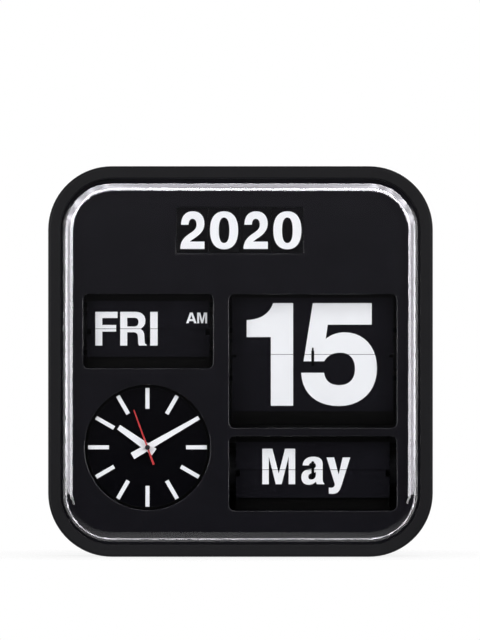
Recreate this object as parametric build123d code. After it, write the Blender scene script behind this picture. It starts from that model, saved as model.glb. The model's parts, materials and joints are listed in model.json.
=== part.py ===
from build123d import *
import os
from dataclasses import dataclass
from math import atan2, cos, pi, radians, sin, sqrt

# Wall clock with a split-leaf calendar. Millimetres. X to the right seen from the front, Z up,
# the front faces -Y and the back lies on the wall plane y = 0.

# Case
CASE_W = 320.0
CASE_H = 325.0
CASE_DEPTH = 95.0
CORNER_R = 53.0
WALL = 3.0
BEZEL_DEPTH = 9.0
RIM_W = 10.5
RIM_T = 3.0
RIM_EDGE_R = 2.2
SKIRT_T = 2.0
LIP_T = 2.0
LIP_H = 4.0
SEAT_GAP = 0.3

# Clear front cover
LENS_GROOVE = 2.0
LENS_T = 2.5
LENS_BEND_R = 9.0
LENS_PROUD = 6.0
FLANGE_W = 6.5
FLANGE_T = 2.5
FLANGE_SINK = 1.5

# Face panel
PANEL_Y = -66.0
PANEL_T = 2.5
PANEL_EDGE_R = 0.8
PANEL_WALL_T = 3.0
PANEL_WALL_INSET = 3.0
LEDGE_W = 7.0
LEDGE_T = 3.0
COLLAR_T = 1.5
COLLAR_BACK_Y = -50.0
BOSS_R = 2.6
PANEL_SCREW_SHARE = 0.2

# Layout of the face: margins from the edges of the case, gaps, and how uneven the columns and rows are
LEFT_MARGIN = 29.2
RIGHT_MARGIN = 30.0
COLUMN_GAP = 13.6
COLUMN_SHIFT = 15.8
WEEKDAY_MARGIN = 106.3
DIAL_MARGIN = 38.7
LEFT_ROW_GAP = 13.8
LEFT_ROW_SHIFT = 21.3
DATE_MARGIN = 106.45
MONTH_MARGIN = 38.25
RIGHT_ROW_GAP = 7.1
RIGHT_ROW_SHIFT = 24.7
YEAR_MARGIN = 53.3

# Year tiles
TILE_W = 26.1
TILE_H = 37.8
TILE_T = 1.5
TILE_GAP = 0.25
TILE_EDGE_R = 0.5
TILE_COUNT = 4
YEAR_X = -0.5

# Split-leaf units
LEAF_PLANE_Y = -43.0
LEAF_T = 0.15
LEAF_LEAN = 0.6
PACK_LEAN = 15.0
LAST_STANDING = 170.0
PIN_CIRCLE_R = 12.0
PIN_R = 0.6
TAB_L = 1.6
TAB_ROOT = 1.0
TAB_HALF = 0.45
GROOVE_GAP = 0.35
GROOVE_DEPTH = 2.0
FLANGE_EDGE = 2.5
HUB_R = 5.0
DISC_T = 1.4
DISC_PROUD = 1.0
NOTCH_GAP = 0.5
NOTCH_H = 7.0
END_GAP = 0.5
SPLIT_GAP = 0.3
SHAFT_R = 2.0
PLATE_T = 2.0
PLATE_BACK_Y = -6.0
PLATE_HALF_H = 27.0
LUG_L = 6.0
LUG_T = 3.0
LUG_HALF = 4.0
BAR_T = 3.0
BAR_H = 4.0
BAR_Z = 20.0
BAR_BACK_Y = -10.5
GEAR_T = 4.0
GEAR_GAP = 1.0
UNIT_MODULE = 1.0
TIP_SHARE = 0.8
ROOT_SHARE = 1.15
BACKLASH_SHARE = 0.3
TIP_WIDTH_SHARE = 0.5
ROOT_WIDTH_SHARE = 1.3
DRUM_TEETH = 30
THUMB_TEETH = 24
PINION_TEETH = 10
THUMB_Y = -14.0
THUMB_RIM_R = 12.4
THUMB_RIM_W = 7.0
THUMB_FLUTES = 30
FLUTE_R = 0.7
MOTOR_R = 10.0
MOTOR_L = 10.0
MOTOR_ANGLE = 35.0
MOTOR_EAR = 13.0
MOTOR_EAR_W = 5.2
MOTOR_EAR_T = 1.5
POST_R = 2.2

# Dial and movement
DIAL_SHIFT = -0.6
DIAL_SIDE_GAP = 1.7
DIAL_Y = -56.0
DIAL_T = 2.0
DIAL_COLLAR_T = 1.8
DIAL_BOSS_R = 2.4
DIAL_BOSS_STEP = 1.5
MARKER_EDGE = 2.7
MARKER_L = 17.4
MARKER_W = 3.4
MARKER_T = 1.0
MOVE_W = 56.0
MOVE_CORNER = 4.0
MOVE_WALL = 1.5
MOVE_DEPTH = 14.0
LID_T = 1.5
BUSH_R = 4.0
BUSH_OUT = 2.2
HOUR_TUBE_R = 2.5
MINUTE_TUBE_R = 1.6
SECOND_ARBOR_R = 0.6
FIT = 0.05
HAND_T = 0.6
HAND_STEP = 2.2
HAND_RISE = 1.8
CAP_R = 2.1
CAP_T = 1.3
FINE_MODULE = 0.3
MINUTE_MODULE = 0.5
CANNON_TEETH = 12
MINUTE_TEETH = 36
MINUTE_PINION_TEETH = 10
HOUR_TEETH = 40
SECOND_TEETH = 48
DRIVE_PINION_TEETH = 8
DRIVE_TEETH = 50
ROTOR_TEETH = 10
DRIVE_ANGLE = 150.0
WHEEL_T = 1.4
MINUTE_GAP = 1.3
MINUTE_LAYER_T = 2.3
SECOND_GAP = 3.6
FINE_T = 0.8
FINE_GAP = 0.4
ROTOR_R = 3.0
STATOR_T = 1.0
LEG_W = 6.0
LEG_REACH = 15.0
COIL_R = 3.5
ARBOR_R = 1.2
PIVOT_R = 0.5
STEM_R = 1.5
KNOB_R = 8.0
KNOB_T = 5.5
KNOB_SINK = 1.5
KNOB_GAP = 1.0
KNOB_FLUTES = 24

# Back, battery bay and hanger
COVER_T = 4.0
CASE_BOSS_R = 4.0
CASE_BOSS_IN = 6.5
CASE_BOSS_L = 26.0
COVER_SCREW_R = 1.5
COVER_HEAD_R = 3.0
COVER_HEAD_T = 2.0
COVER_SCREW_L = 14.0
COVER_SINK = 0.5
CROSS_W = 0.8
CROSS_DEPTH = 1.0
SLOT_GAP = 0.8
CELL_R = 17.1
CELL_L = 61.5
CELL_NUB_R = 4.5
CELL_NUB_L = 1.5
CELL_GAP = 0.5
CONTACT_T = 0.6
CONTACT_ROOM = 3.0
BAY_WALL = 2.0
BAY_TO_HANGER = 11.4
DOOR_T = 2.0
DOOR_LAP = 3.0
DOOR_GAP = 0.4
HINGE_R = 1.2
HINGE_PIN_R = 0.8
HINGE_PIN_L = 2.0
SCOOP_W = 18.0
SCOOP_H = 5.0
HANGER_W = 44.0
HANGER_H = 22.0
HANGER_T = 1.5
HANGER_MARGIN = 23.5
HANGER_BACKING = 4.0
KEYHOLE_R = 5.0
KEYHOLE_SLOT = 5.0
KEYHOLE_RISE = 8.0
RIVET_R = 1.6
RIVET_HEAD_R = 2.9
BOARD_W = 58.0
BOARD_H = 40.0
BOARD_T = 1.6
BOARD_DROP = 13.2
BOARD_STAND = 8.0
CHIP_W = 12.0
CHIP_T = 1.6
PLUG_W = 24.0
PLUG_H = 6.0
CAPACITOR_R = 3.0
CAPACITOR_L = 8.0
PART_GAP = 3.0

# Small screws
SCREW_R = 1.2
SCREW_L = 8.0
SCREW_HEAD_R = 2.2
SCREW_HEAD_T = 1.6
SLOT_W = 0.6

# Worked-out levels and outlines
PANEL_BACK_Y = PANEL_Y + PANEL_T
LENS_FRONT_Y = -CASE_DEPTH
RIM_Y = LENS_FRONT_Y + LENS_PROUD
BEZEL_BACK_Y = RIM_Y + BEZEL_DEPTH
FLANGE_Y = BEZEL_BACK_Y - FLANGE_SINK
FLANGE_BACK_Y = FLANGE_Y + FLANGE_T
AXIS_Y = LEAF_PLANE_Y + PIN_CIRCLE_R
DISC_R = PIN_CIRCLE_R + DISC_PROUD
DRUM_FLANGE_R = PIN_CIRCLE_R + FLANGE_EDGE
DRUM_GEAR_R = UNIT_MODULE * DRUM_TEETH / 2
THUMB_GEAR_R = UNIT_MODULE * THUMB_TEETH / 2
PINION_PITCH_R = UNIT_MODULE * PINION_TEETH / 2
THUMB_DZ = sqrt((DRUM_GEAR_R + THUMB_GEAR_R) ** 2 - (THUMB_Y - AXIS_Y) ** 2)
MOTOR_Y = AXIS_Y + (DRUM_GEAR_R + PINION_PITCH_R) * sin(radians(MOTOR_ANGLE))
MOTOR_DZ = -(DRUM_GEAR_R + PINION_PITCH_R) * cos(radians(MOTOR_ANGLE))
COLUMNS_W = CASE_W - LEFT_MARGIN - COLUMN_GAP - RIGHT_MARGIN
LEFT_W = COLUMNS_W / 2 - COLUMN_SHIFT
RIGHT_W = COLUMNS_W / 2 + COLUMN_SHIFT
LEFT_X = -CASE_W / 2 + LEFT_MARGIN + LEFT_W / 2
RIGHT_X = CASE_W / 2 - RIGHT_MARGIN - RIGHT_W / 2
LEFT_ROWS_H = CASE_H - WEEKDAY_MARGIN - LEFT_ROW_GAP - DIAL_MARGIN
WEEKDAY_H = LEFT_ROWS_H / 2 - LEFT_ROW_SHIFT
RIGHT_ROWS_H = CASE_H - DATE_MARGIN - RIGHT_ROW_GAP - MONTH_MARGIN
DATE_H = RIGHT_ROWS_H / 2 + RIGHT_ROW_SHIFT
MONTH_H = RIGHT_ROWS_H / 2 - RIGHT_ROW_SHIFT
YEAR_Z = CASE_H / 2 - YEAR_MARGIN
DIAL_R = min(LEFT_W / 2 - DIAL_SIDE_GAP, LEFT_ROWS_H / 4 + LEFT_ROW_SHIFT / 2)
DIAL_X = LEFT_X + DIAL_SHIFT
DIAL_Z = -CASE_H / 2 + DIAL_MARGIN + DIAL_R
MARKER_OUT = DIAL_R - MARKER_EDGE
MARKER_IN = MARKER_OUT - MARKER_L
DIAL_BACK_Y = DIAL_Y + DIAL_T
DIAL_BOSS_AT = DIAL_R + DIAL_COLLAR_T + DIAL_BOSS_STEP
DIAL_PLATE_R = DIAL_BOSS_AT + DIAL_BOSS_R
MOVE_BACK_Y = DIAL_BACK_Y + MOVE_DEPTH
LID_BACK_Y = MOVE_BACK_Y + LID_T
GEAR_FRONT_Y = DIAL_BACK_Y + MOVE_WALL + SEAT_GAP
HOUR_MODULE = MINUTE_MODULE * (CANNON_TEETH + MINUTE_TEETH) / (MINUTE_PINION_TEETH + HOUR_TEETH)
TRAIN_STEP = MINUTE_MODULE * (CANNON_TEETH + MINUTE_TEETH) / 2
MINUTE_LAYER_Y = GEAR_FRONT_Y + WHEEL_T + MINUTE_GAP
SECOND_LAYER_Y = MINUTE_LAYER_Y + MINUTE_LAYER_T + SECOND_GAP
DRIVE_LAYER_Y = SECOND_LAYER_Y + FINE_T + 2 * FINE_GAP
DRIVE_STEP = FINE_MODULE * (SECOND_TEETH + DRIVE_PINION_TEETH) / 2
DRIVE_DX = DRIVE_STEP * cos(radians(DRIVE_ANGLE))
DRIVE_DZ = DRIVE_STEP * sin(radians(DRIVE_ANGLE))
ROTOR_DZ = DRIVE_DZ + FINE_MODULE * (DRIVE_TEETH + ROTOR_TEETH) / 2
STATOR_Y = SECOND_LAYER_Y - 2 * FINE_GAP
STATOR_LEGS = (DRIVE_DX - LEG_REACH, DRIVE_DX + LEG_REACH)
COIL_DZ = ROTOR_DZ + 1.5 * ROTOR_R + COIL_R + FINE_GAP
KNOB_FRONT_Y = -KNOB_SINK - KNOB_T
HOUR_HAND_Y = DIAL_Y - BUSH_OUT - HAND_RISE
MINUTE_HAND_Y = HOUR_HAND_Y - HAND_STEP
SECOND_HAND_Y = MINUTE_HAND_Y - HAND_STEP
COVER_IN_Y = -COVER_T
BAY_LENGTH = 2 * CELL_L + 2 * CONTACT_ROOM
BAY_HEIGHT = 2 * (CELL_R + CELL_GAP)
HANGER_Z = CASE_H / 2 - HANGER_MARGIN
DOOR_TOP = HANGER_Z - HANGER_H / 2 - BAY_TO_HANGER
BAY_Z = DOOR_TOP - DOOR_LAP - BAY_HEIGHT / 2
CELL_Y = -DOOR_T - 2 * CELL_GAP - CELL_R
BAY_FLOOR_Y = CELL_Y - CELL_R - CELL_GAP
DOOR_W = BAY_LENGTH + 2 * DOOR_LAP
DOOR_BOTTOM = BAY_Z - BAY_HEIGHT / 2 - DOOR_LAP
DOOR_HINGE_Y = -DOOR_T / 2 - HINGE_R / 2
KEYHOLE_Z = HANGER_Z - KEYHOLE_R
BOARD_Y = PANEL_BACK_Y + BOARD_STAND
BOARD_Z = YEAR_Z - BOARD_DROP

FRONT = Plane(origin=(0, 0, 0), x_dir=(1, 0, 0), z_dir=(0, -1, 0))
SIDE = Plane(origin=(0, 0, 0), x_dir=(0, 1, 0), z_dir=(1, 0, 0))


@dataclass
class Unit:
    """One split-leaf display: its window in the panel, and its leaves set in from the window's edges."""
    name: str
    x: float
    window_z: float
    window_w: float
    window_h: float
    window_r: float
    split_rise: float
    side_gap: float
    top_gap: float
    leaves: int
    side: int

    @property
    def split(self):
        return self.window_z + self.split_rise

    @property
    def leaf_w(self):
        return self.window_w - 2 * self.side_gap

    @property
    def leaf_h(self):
        return self.window_h / 2 - self.split_rise - self.top_gap

    def plate_in(self):
        return self.window_w / 2 + COLLAR_T

    def plate_out(self):
        return self.plate_in() + PLATE_T


@dataclass
class Hand:
    """A tapered hand: length and tail from the centre, widths at tip and tail, angle from twelve."""
    length: float
    tail: float
    tip_w: float
    tail_w: float
    angle: float


UNITS = [
    Unit("weekday", x=LEFT_X, window_z=CASE_H / 2 - WEEKDAY_MARGIN - WEEKDAY_H / 2, window_w=LEFT_W,
         window_h=WEEKDAY_H, window_r=4.0, split_rise=2.0, side_gap=2.9, top_gap=5.7, leaves=14, side=-1),
    Unit("date", x=RIGHT_X, window_z=CASE_H / 2 - DATE_MARGIN - DATE_H / 2, window_w=RIGHT_W,
         window_h=DATE_H, window_r=4.6, split_rise=5.5, side_gap=2.7, top_gap=2.95, leaves=31, side=1),
    Unit("month", x=RIGHT_X, window_z=-CASE_H / 2 + MONTH_MARGIN + MONTH_H / 2, window_w=RIGHT_W,
         window_h=MONTH_H, window_r=4.6, split_rise=3.0, side_gap=5.7, top_gap=4.75, leaves=12, side=1),
]
HOUR_HAND = Hand(length=0.5613 * DIAL_R, tail=6.9, tip_w=4.4, tail_w=6.7, angle=305.0)
MINUTE_HAND = Hand(length=0.9425 * DIAL_R, tail=14.4, tip_w=3.2, tail_w=6.0, angle=60.0)
SECOND_HAND = Hand(length=0.634 * DIAL_R, tail=15.3, tip_w=1.0, tail_w=1.7, angle=340.0)


def front_slab(sketch, back_y, front_y):
    """A front-view outline given thickness between two depths."""
    return extrude(FRONT.offset(-back_y) * sketch, amount=back_y - front_y)


def side_slab(sketch, x_a, x_b):
    """A side-view outline (Y across, Z up) given thickness between two X places."""
    return extrude(SIDE.offset(min(x_a, x_b)) * sketch, amount=abs(x_b - x_a))


def case_outline(inset):
    """The rounded-square outline of the case, drawn in by an inset."""
    return RectangleRounded(CASE_W - 2 * inset, CASE_H - 2 * inset, CORNER_R - inset)


def disc(x, z, radius, back_y, front_y):
    return front_slab(Pos(x, z) * Circle(radius), back_y, front_y)


def rod(y, z, radius, x_a, x_b):
    return side_slab(Pos(y, z) * Circle(radius), x_a, x_b)


def block(x_range, y_range, z_range):
    size = [high - low for low, high in (x_range, y_range, z_range)]
    centre = [(high + low) / 2 for low, high in (x_range, y_range, z_range)]
    return Pos(*centre) * Box(*size)


def gear_face(teeth, module, turn):
    """A gear outline with straight-flanked teeth and a little backlash, turned by an angle in degrees."""
    pitch_r = module * teeth / 2
    tip_r = pitch_r + TIP_SHARE * module
    root_r = pitch_r - ROOT_SHARE * module
    half = (pi / 2 - BACKLASH_SHARE) * module / 2 / pitch_r
    tip, root = TIP_WIDTH_SHARE * half, ROOT_WIDTH_SHARE * half
    points = []
    for index in range(teeth):
        centre = radians(turn) + 2 * pi * index / teeth
        for radius, angle in ((root_r, -root), (tip_r, -tip), (tip_r, tip), (root_r, root)):
            points.append((radius * cos(centre + angle), radius * sin(centre + angle)))
    return Polygon(*points, align=None)


def mesh_turn(teeth_a, turn_a, teeth_b, direction):
    """The turn of gear B that puts a gap of B on a tooth of A, with B in the given direction from A."""
    pitch_a = 360 / teeth_a
    pitch_b = 360 / teeth_b
    offset = turn_a + round((direction - turn_a) / pitch_a) * pitch_a - direction
    return direction + 180 - offset * teeth_a / teeth_b + pitch_b / 2


def small_screw(x, z, seat_y):
    """A pan-head screw driven from behind, whose head stands on the depth seat_y."""
    head = disc(x, z, SCREW_HEAD_R, seat_y + SCREW_HEAD_T, seat_y)
    slot = block((x - SCREW_HEAD_R, x + SCREW_HEAD_R), (seat_y + SCREW_HEAD_T / 2, seat_y + SCREW_HEAD_T),
                 (z - SLOT_W / 2, z + SLOT_W / 2))
    return head - slot + disc(x, z, SCREW_R, seat_y, seat_y - SCREW_L)


# Case, bezel and clear cover

def case_boss_places():
    """Six rear bosses: one in each corner and one at the middle of the top and the bottom."""
    reach = (CORNER_R - CASE_BOSS_IN) / sqrt(2)
    corner_x = CASE_W / 2 - CORNER_R + reach
    corner_z = CASE_H / 2 - CORNER_R + reach
    places = [(sx * corner_x, sz * corner_z) for sx in (-1, 1) for sz in (-1, 1)]
    return places + [(0, CASE_H / 2 - CASE_BOSS_IN), (0, CASE_BOSS_IN - CASE_H / 2)]


def panel_screw_places():
    """Eight screws through the ledge into the wall that stands round the panel."""
    across = CASE_W / 2 - WALL - SEAT_GAP - PANEL_WALL_INSET - PANEL_WALL_T / 2
    up = across + (CASE_H - CASE_W) / 2
    along = PANEL_SCREW_SHARE * CASE_W
    sides = [(sx * across, sz * along) for sx in (-1, 1) for sz in (-1, 1)]
    return sides + [(sx * along, sz * up) for sx in (-1, 1) for sz in (-1, 1)]


def case_body():
    shell = front_slab(case_outline(0) - case_outline(WALL), 0, BEZEL_BACK_Y)
    ledge = case_outline(WALL) - case_outline(WALL + LEDGE_W)
    shell += front_slab(ledge, PANEL_BACK_Y + LEDGE_T, PANEL_BACK_Y)
    outside = front_slab(case_outline(0), 0, BEZEL_BACK_Y)
    for x, z in case_boss_places():
        boss = disc(x, z, CASE_BOSS_R, COVER_IN_Y, COVER_IN_Y - CASE_BOSS_L)
        shell += boss & outside
        shell -= disc(x, z, COVER_SCREW_R, COVER_IN_Y, COVER_IN_Y - COVER_SCREW_L)
    for x, z in panel_screw_places():
        shell -= disc(x, z, SCREW_R, PANEL_BACK_Y + LEDGE_T, PANEL_BACK_Y)
    return shell


def front_bezel():
    block_out = front_slab(case_outline(0), BEZEL_BACK_Y, RIM_Y)
    block_out = fillet(block_out.faces().sort_by(Axis.Y)[0].edges(), RIM_EDGE_R)
    bezel = block_out - front_slab(case_outline(RIM_W), BEZEL_BACK_Y, RIM_Y)
    channel = case_outline(WALL) - case_outline(RIM_W - SKIRT_T)
    bezel -= front_slab(channel, BEZEL_BACK_Y, RIM_Y + RIM_T)
    bezel -= front_slab(case_outline(RIM_W - SKIRT_T), BEZEL_BACK_Y, FLANGE_Y)
    lip = case_outline(WALL + SEAT_GAP / 2) - case_outline(WALL + SEAT_GAP / 2 + LIP_T)
    bezel += front_slab(lip, BEZEL_BACK_Y + LIP_H, RIM_Y + RIM_T)
    inner_edges = bezel.faces().sort_by(Axis.Y)[0].inner_wires()[0].edges()
    return fillet(inner_edges, RIM_EDGE_R / 3)


def lens_cover():
    inset = RIM_W + LENS_GROOVE
    outer = front_slab(case_outline(inset), FLANGE_BACK_Y, LENS_FRONT_Y)
    outer = fillet(outer.faces().sort_by(Axis.Y)[0].edges(), LENS_BEND_R)
    inner = front_slab(case_outline(inset + LENS_T), FLANGE_BACK_Y, LENS_FRONT_Y + LENS_T)
    inner = fillet(inner.faces().sort_by(Axis.Y)[0].edges(), LENS_BEND_R - LENS_T)
    flange = case_outline(inset - FLANGE_W) - case_outline(inset + LENS_T / 2)
    return outer - inner + front_slab(flange, FLANGE_BACK_Y, FLANGE_Y)


# Face panel, dial plate and year tiles

def lug_places(unit):
    """Four screw places of a unit, one beyond each end of its two side plates."""
    reach = unit.plate_out() + LUG_L / 2
    rise = PLATE_HALF_H - LUG_HALF
    return [(unit.x + sx * reach, unit.split + sz * rise) for sx in (-1, 1) for sz in (-1, 1)]


def dial_boss_places():
    angles = [45, 135, 225, 315]
    reach = DIAL_BOSS_AT
    return [(DIAL_X + reach * cos(radians(a)), DIAL_Z + reach * sin(radians(a))) for a in angles]


def year_pocket():
    width = TILE_COUNT * TILE_W + (TILE_COUNT + 1) * TILE_GAP
    return Pos(YEAR_X, YEAR_Z) * Rectangle(width, TILE_H + 2 * TILE_GAP)


def unit_window(unit, grow):
    outline = RectangleRounded(unit.window_w + 2 * grow, unit.window_h + 2 * grow, unit.window_r + grow)
    return Pos(unit.x, unit.window_z) * outline


def panel_plate():
    """The flat panel with its windows, dial hole and year pocket, rounded where they open to the front."""
    plate = front_slab(case_outline(WALL + SEAT_GAP), PANEL_BACK_Y, PANEL_Y)
    for unit in UNITS:
        plate -= front_slab(unit_window(unit, 0), PANEL_BACK_Y, PANEL_Y)
    plate -= disc(DIAL_X, DIAL_Z, DIAL_R, PANEL_BACK_Y, PANEL_Y)
    plate -= front_slab(year_pocket(), PANEL_Y + TILE_T, PANEL_Y)
    mouths = [edge for wire in plate.faces().sort_by(Axis.Y)[0].inner_wires() for edge in wire.edges()]
    return fillet(mouths, PANEL_EDGE_R)


def face_panel():
    panel = panel_plate()
    wall_in = WALL + SEAT_GAP + PANEL_WALL_INSET
    wall = case_outline(wall_in) - case_outline(wall_in + PANEL_WALL_T)
    panel += front_slab(wall, PANEL_Y, FLANGE_BACK_Y)
    for unit in UNITS:
        collar = unit_window(unit, COLLAR_T) - unit_window(unit, 0)
        panel += front_slab(collar, COLLAR_BACK_Y, PANEL_BACK_Y)
        for x, z in lug_places(unit):
            panel += disc(x, z, BOSS_R, COLLAR_BACK_Y, PANEL_BACK_Y)
    collar = Pos(DIAL_X, DIAL_Z) * (Circle(DIAL_R + DIAL_COLLAR_T) - Circle(DIAL_R))
    panel += front_slab(collar, DIAL_Y, PANEL_BACK_Y)
    for x, z in dial_boss_places():
        panel += disc(x, z, DIAL_BOSS_R, DIAL_Y, PANEL_BACK_Y)
    panel -= disc(DIAL_X, DIAL_Z, DIAL_R, DIAL_Y, PANEL_Y)
    for x, z in board_post_places():
        panel += disc(x, z, BOSS_R, BOARD_Y, PANEL_BACK_Y)
        panel -= disc(x, z, SCREW_R, BOARD_Y, BOARD_Y + BOARD_T - SCREW_L)
    for unit in UNITS:
        for x, z in lug_places(unit):
            panel -= disc(x, z, SCREW_R, COLLAR_BACK_Y, COLLAR_BACK_Y - SCREW_L)
    for x, z in dial_boss_places():
        panel -= disc(x, z, SCREW_R, DIAL_Y, DIAL_BACK_Y - SCREW_L)
    for x, z in panel_screw_places():
        panel -= disc(x, z, SCREW_R, PANEL_BACK_Y, PANEL_BACK_Y + LEDGE_T - SCREW_L)
    return panel


def movement_ear_places():
    reach = MOVE_W / 2 + LUG_L / 2
    return [(DIAL_X + sx * reach, DIAL_Z + sz * MOVE_W / 3) for sx in (-1, 1) for sz in (-1, 1)]


EAR_Y = DIAL_BACK_Y + SCREW_L - LUG_T - DIAL_T / 2


def dial_plate():
    plate = disc(DIAL_X, DIAL_Z, DIAL_PLATE_R, DIAL_BACK_Y, DIAL_Y)
    plate -= disc(DIAL_X, DIAL_Z, BUSH_R + FIT, DIAL_BACK_Y, DIAL_Y)
    for x, z in movement_ear_places():
        plate += disc(x, z, DIAL_BOSS_R, EAR_Y, DIAL_BACK_Y)
        plate -= disc(x, z, SCREW_R, EAR_Y, EAR_Y + LUG_T - SCREW_L)
    for x, z in dial_boss_places():
        plate -= disc(x, z, SCREW_R, DIAL_BACK_Y, DIAL_Y)
    return plate


def hour_markers():
    """Twelve bars standing on the dial plate."""
    length = MARKER_OUT - MARKER_IN
    middle = (MARKER_OUT + MARKER_IN) / 2
    bars = []
    for hour in range(12):
        outline = Pos(DIAL_X, DIAL_Z) * Rot(0, 0, -30 * hour) * Pos(0, middle) * Rectangle(MARKER_W, length)
        bar = front_slab(outline, DIAL_Y, DIAL_Y - MARKER_T)
        bars.append(fillet(bar.faces().sort_by(Axis.Y)[0].edges(), MARKER_T / 4))
    return Compound(bars)


def year_tile(index):
    step = TILE_W + TILE_GAP
    x = YEAR_X + (index - (TILE_COUNT - 1) / 2) * step
    tile = front_slab(Pos(x, YEAR_Z) * Rectangle(TILE_W, TILE_H), PANEL_Y + TILE_T, PANEL_Y)
    return fillet(tile.faces().sort_by(Axis.Y)[0].edges(), TILE_EDGE_R)


# Split-leaf units

def unit_frame(unit):
    """Two side plates joined by two rear bars, with lugs, motor posts and the thumbwheel pin."""
    inner = unit.plate_in()
    outer = unit.plate_out()
    plate = Pos((COLLAR_BACK_Y + PLATE_BACK_Y) / 2, unit.split)
    plate = plate * Rectangle(PLATE_BACK_Y - COLLAR_BACK_Y, 2 * PLATE_HALF_H)
    plate -= Pos(AXIS_Y, unit.split) * Circle(SHAFT_R + FIT)
    frame = side_slab(plate, unit.x + inner, unit.x + outer)
    frame += side_slab(plate, unit.x - outer, unit.x - inner)
    for lift in (-BAR_Z, BAR_Z):
        height = unit.split + lift
        frame += block((unit.x - inner, unit.x + inner), (BAR_BACK_Y - BAR_T, BAR_BACK_Y),
                       (height - BAR_H / 2, height + BAR_H / 2))
    for x, z in lug_places(unit):
        frame += block((x - LUG_L / 2, x + LUG_L / 2), (COLLAR_BACK_Y, COLLAR_BACK_Y + LUG_T),
                       (z - LUG_HALF, z + LUG_HALF))
        frame -= disc(x, z, SCREW_R, COLLAR_BACK_Y + LUG_T, COLLAR_BACK_Y)
    start = unit.x + unit.side * outer
    for y, z in motor_ear_places(unit):
        frame += rod(y, z, POST_R, start, start + unit.side * (GEAR_T + 2 * GEAR_GAP))
    pin_end = start + unit.side * (GEAR_T + GEAR_GAP + THUMB_RIM_W + 2 * GEAR_GAP)
    return frame + rod(THUMB_Y, unit.split + THUMB_DZ, SHAFT_R, start, pin_end)


def motor_ear_places(unit):
    along = radians(MOTOR_ANGLE)
    return [(MOTOR_Y + s * MOTOR_EAR * cos(along), unit.split + MOTOR_DZ + s * MOTOR_EAR * sin(along))
            for s in (-1, 1)]


def gear_range(unit):
    """The X places between which the gears of a unit lie, outside the geared side plate."""
    near = unit.x + unit.side * (unit.plate_out() + GEAR_GAP)
    return near, near + unit.side * GEAR_T


def unit_drum(unit):
    """Hub with two grooved end flanges, and a middle disc that holds the leaves in line."""
    half = unit.plate_in() - GEAR_GAP
    inner = unit.leaf_w / 2 + END_GAP
    groove = Circle(PIN_CIRCLE_R + PIN_R + GROOVE_GAP) - Circle(PIN_CIRCLE_R - PIN_R - GROOVE_GAP)
    drum = rod(AXIS_Y, unit.split, HUB_R, unit.x - half, unit.x + half)
    drum += rod(AXIS_Y, unit.split, DISC_R, unit.x - DISC_T / 2, unit.x + DISC_T / 2)
    for sx in (-1, 1):
        near = unit.x + sx * inner
        drum += rod(AXIS_Y, unit.split, DRUM_FLANGE_R, near, unit.x + sx * half)
        drum -= side_slab(Pos(AXIS_Y, unit.split) * groove, near, near + sx * GROOVE_DEPTH)
    return drum - rod(AXIS_Y, unit.split, SHAFT_R, unit.x - half, unit.x + half)


def unit_arbor(unit):
    """Steel shaft of the drum with the drive gear on its outer end."""
    near, far = gear_range(unit)
    blank_end = unit.x - unit.side * (unit.plate_out() + GEAR_GAP)
    gear = side_slab(Pos(AXIS_Y, unit.split) * gear_face(DRUM_TEETH, UNIT_MODULE, 0), near, far)
    return gear + rod(AXIS_Y, unit.split, SHAFT_R, blank_end, far)


def leaf_plane(unit, phase, lean):
    """The plane of a leaf whose pins stand at a phase on the pin circle; lean 0 is upright, 180 hangs."""
    y = AXIS_Y - PIN_CIRCLE_R * cos(radians(phase))
    z = unit.split + PIN_CIRCLE_R * sin(radians(phase))
    normal = (0, -cos(radians(lean)), sin(radians(lean)))
    return Plane(origin=(unit.x, y, z), x_dir=(1, 0, 0), z_dir=normal)


def leaf_outline(unit, tab):
    """A leaf with flat end tabs on its hinge line and a middle notch for the disc of the drum."""
    half = unit.leaf_w / 2
    low = LEAF_T / 2
    body = Pos(0, (unit.leaf_h + low) / 2) * Rectangle(unit.leaf_w, unit.leaf_h - low)
    body -= Pos(0, low + NOTCH_H / 2) * Rectangle(DISC_T + 2 * NOTCH_GAP, NOTCH_H)
    if tab:
        for sx in (-1, 1):
            middle = half + (TAB_L - TAB_ROOT) / 2
            body += Pos(sx * middle, TAB_HALF) * Rectangle(TAB_L + TAB_ROOT, 2 * TAB_HALF)
    return body


def leaf_at(unit, phase, lean, outline):
    return extrude(leaf_plane(unit, phase, lean) * outline, amount=LEAF_T / 2, both=True)


def lower_outline(unit):
    """The fallen leaf: its margin runs up to the split line, and it shows as much as the standing one."""
    rise = PIN_CIRCLE_R * sin(2 * pi / unit.leaves) - SPLIT_GAP
    margin = Pos(0, -rise / 2 + LEAF_T / 2) * Rectangle(unit.leaf_w - 4 * TAB_L, rise + LEAF_T)
    cut = Rectangle(DISC_T + 2 * NOTCH_GAP, 2 * NOTCH_H)
    spare = Pos(0, unit.leaf_h - rise / 2) * Rectangle(unit.leaf_w, rise)
    return leaf_outline(unit, True) + margin - cut - spare


def leaf_pack(unit):
    """All the leaves but the next to fall: some stand and lean back, the others hang."""
    outline = leaf_outline(unit, True)
    step = 360 / unit.leaves
    leaves = []
    for index in range(1, unit.leaves - 1):
        phase = index * step
        if phase < LAST_STANDING:
            lean = LEAF_LEAN + (PACK_LEAN - LEAF_LEAN) * phase / LAST_STANDING
        else:
            lean = min(180, phase)
        leaves.append(leaf_at(unit, phase, lean, outline))
    leaves.append(leaf_at(unit, 360 - step, 180, lower_outline(unit)))
    return Compound(leaves)


def flip_leaf(unit):
    """The leaf that falls next, hinged on round pins at the split line."""
    leaf = leaf_at(unit, 0, LEAF_LEAN, leaf_outline(unit, False))
    for sx in (-1, 1):
        start = unit.x + sx * (unit.leaf_w / 2 - TAB_L)
        leaf += rod(LEAF_PLANE_Y, unit.split, PIN_R, start, unit.x + sx * (unit.leaf_w / 2 + TAB_L))
    return leaf


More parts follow.
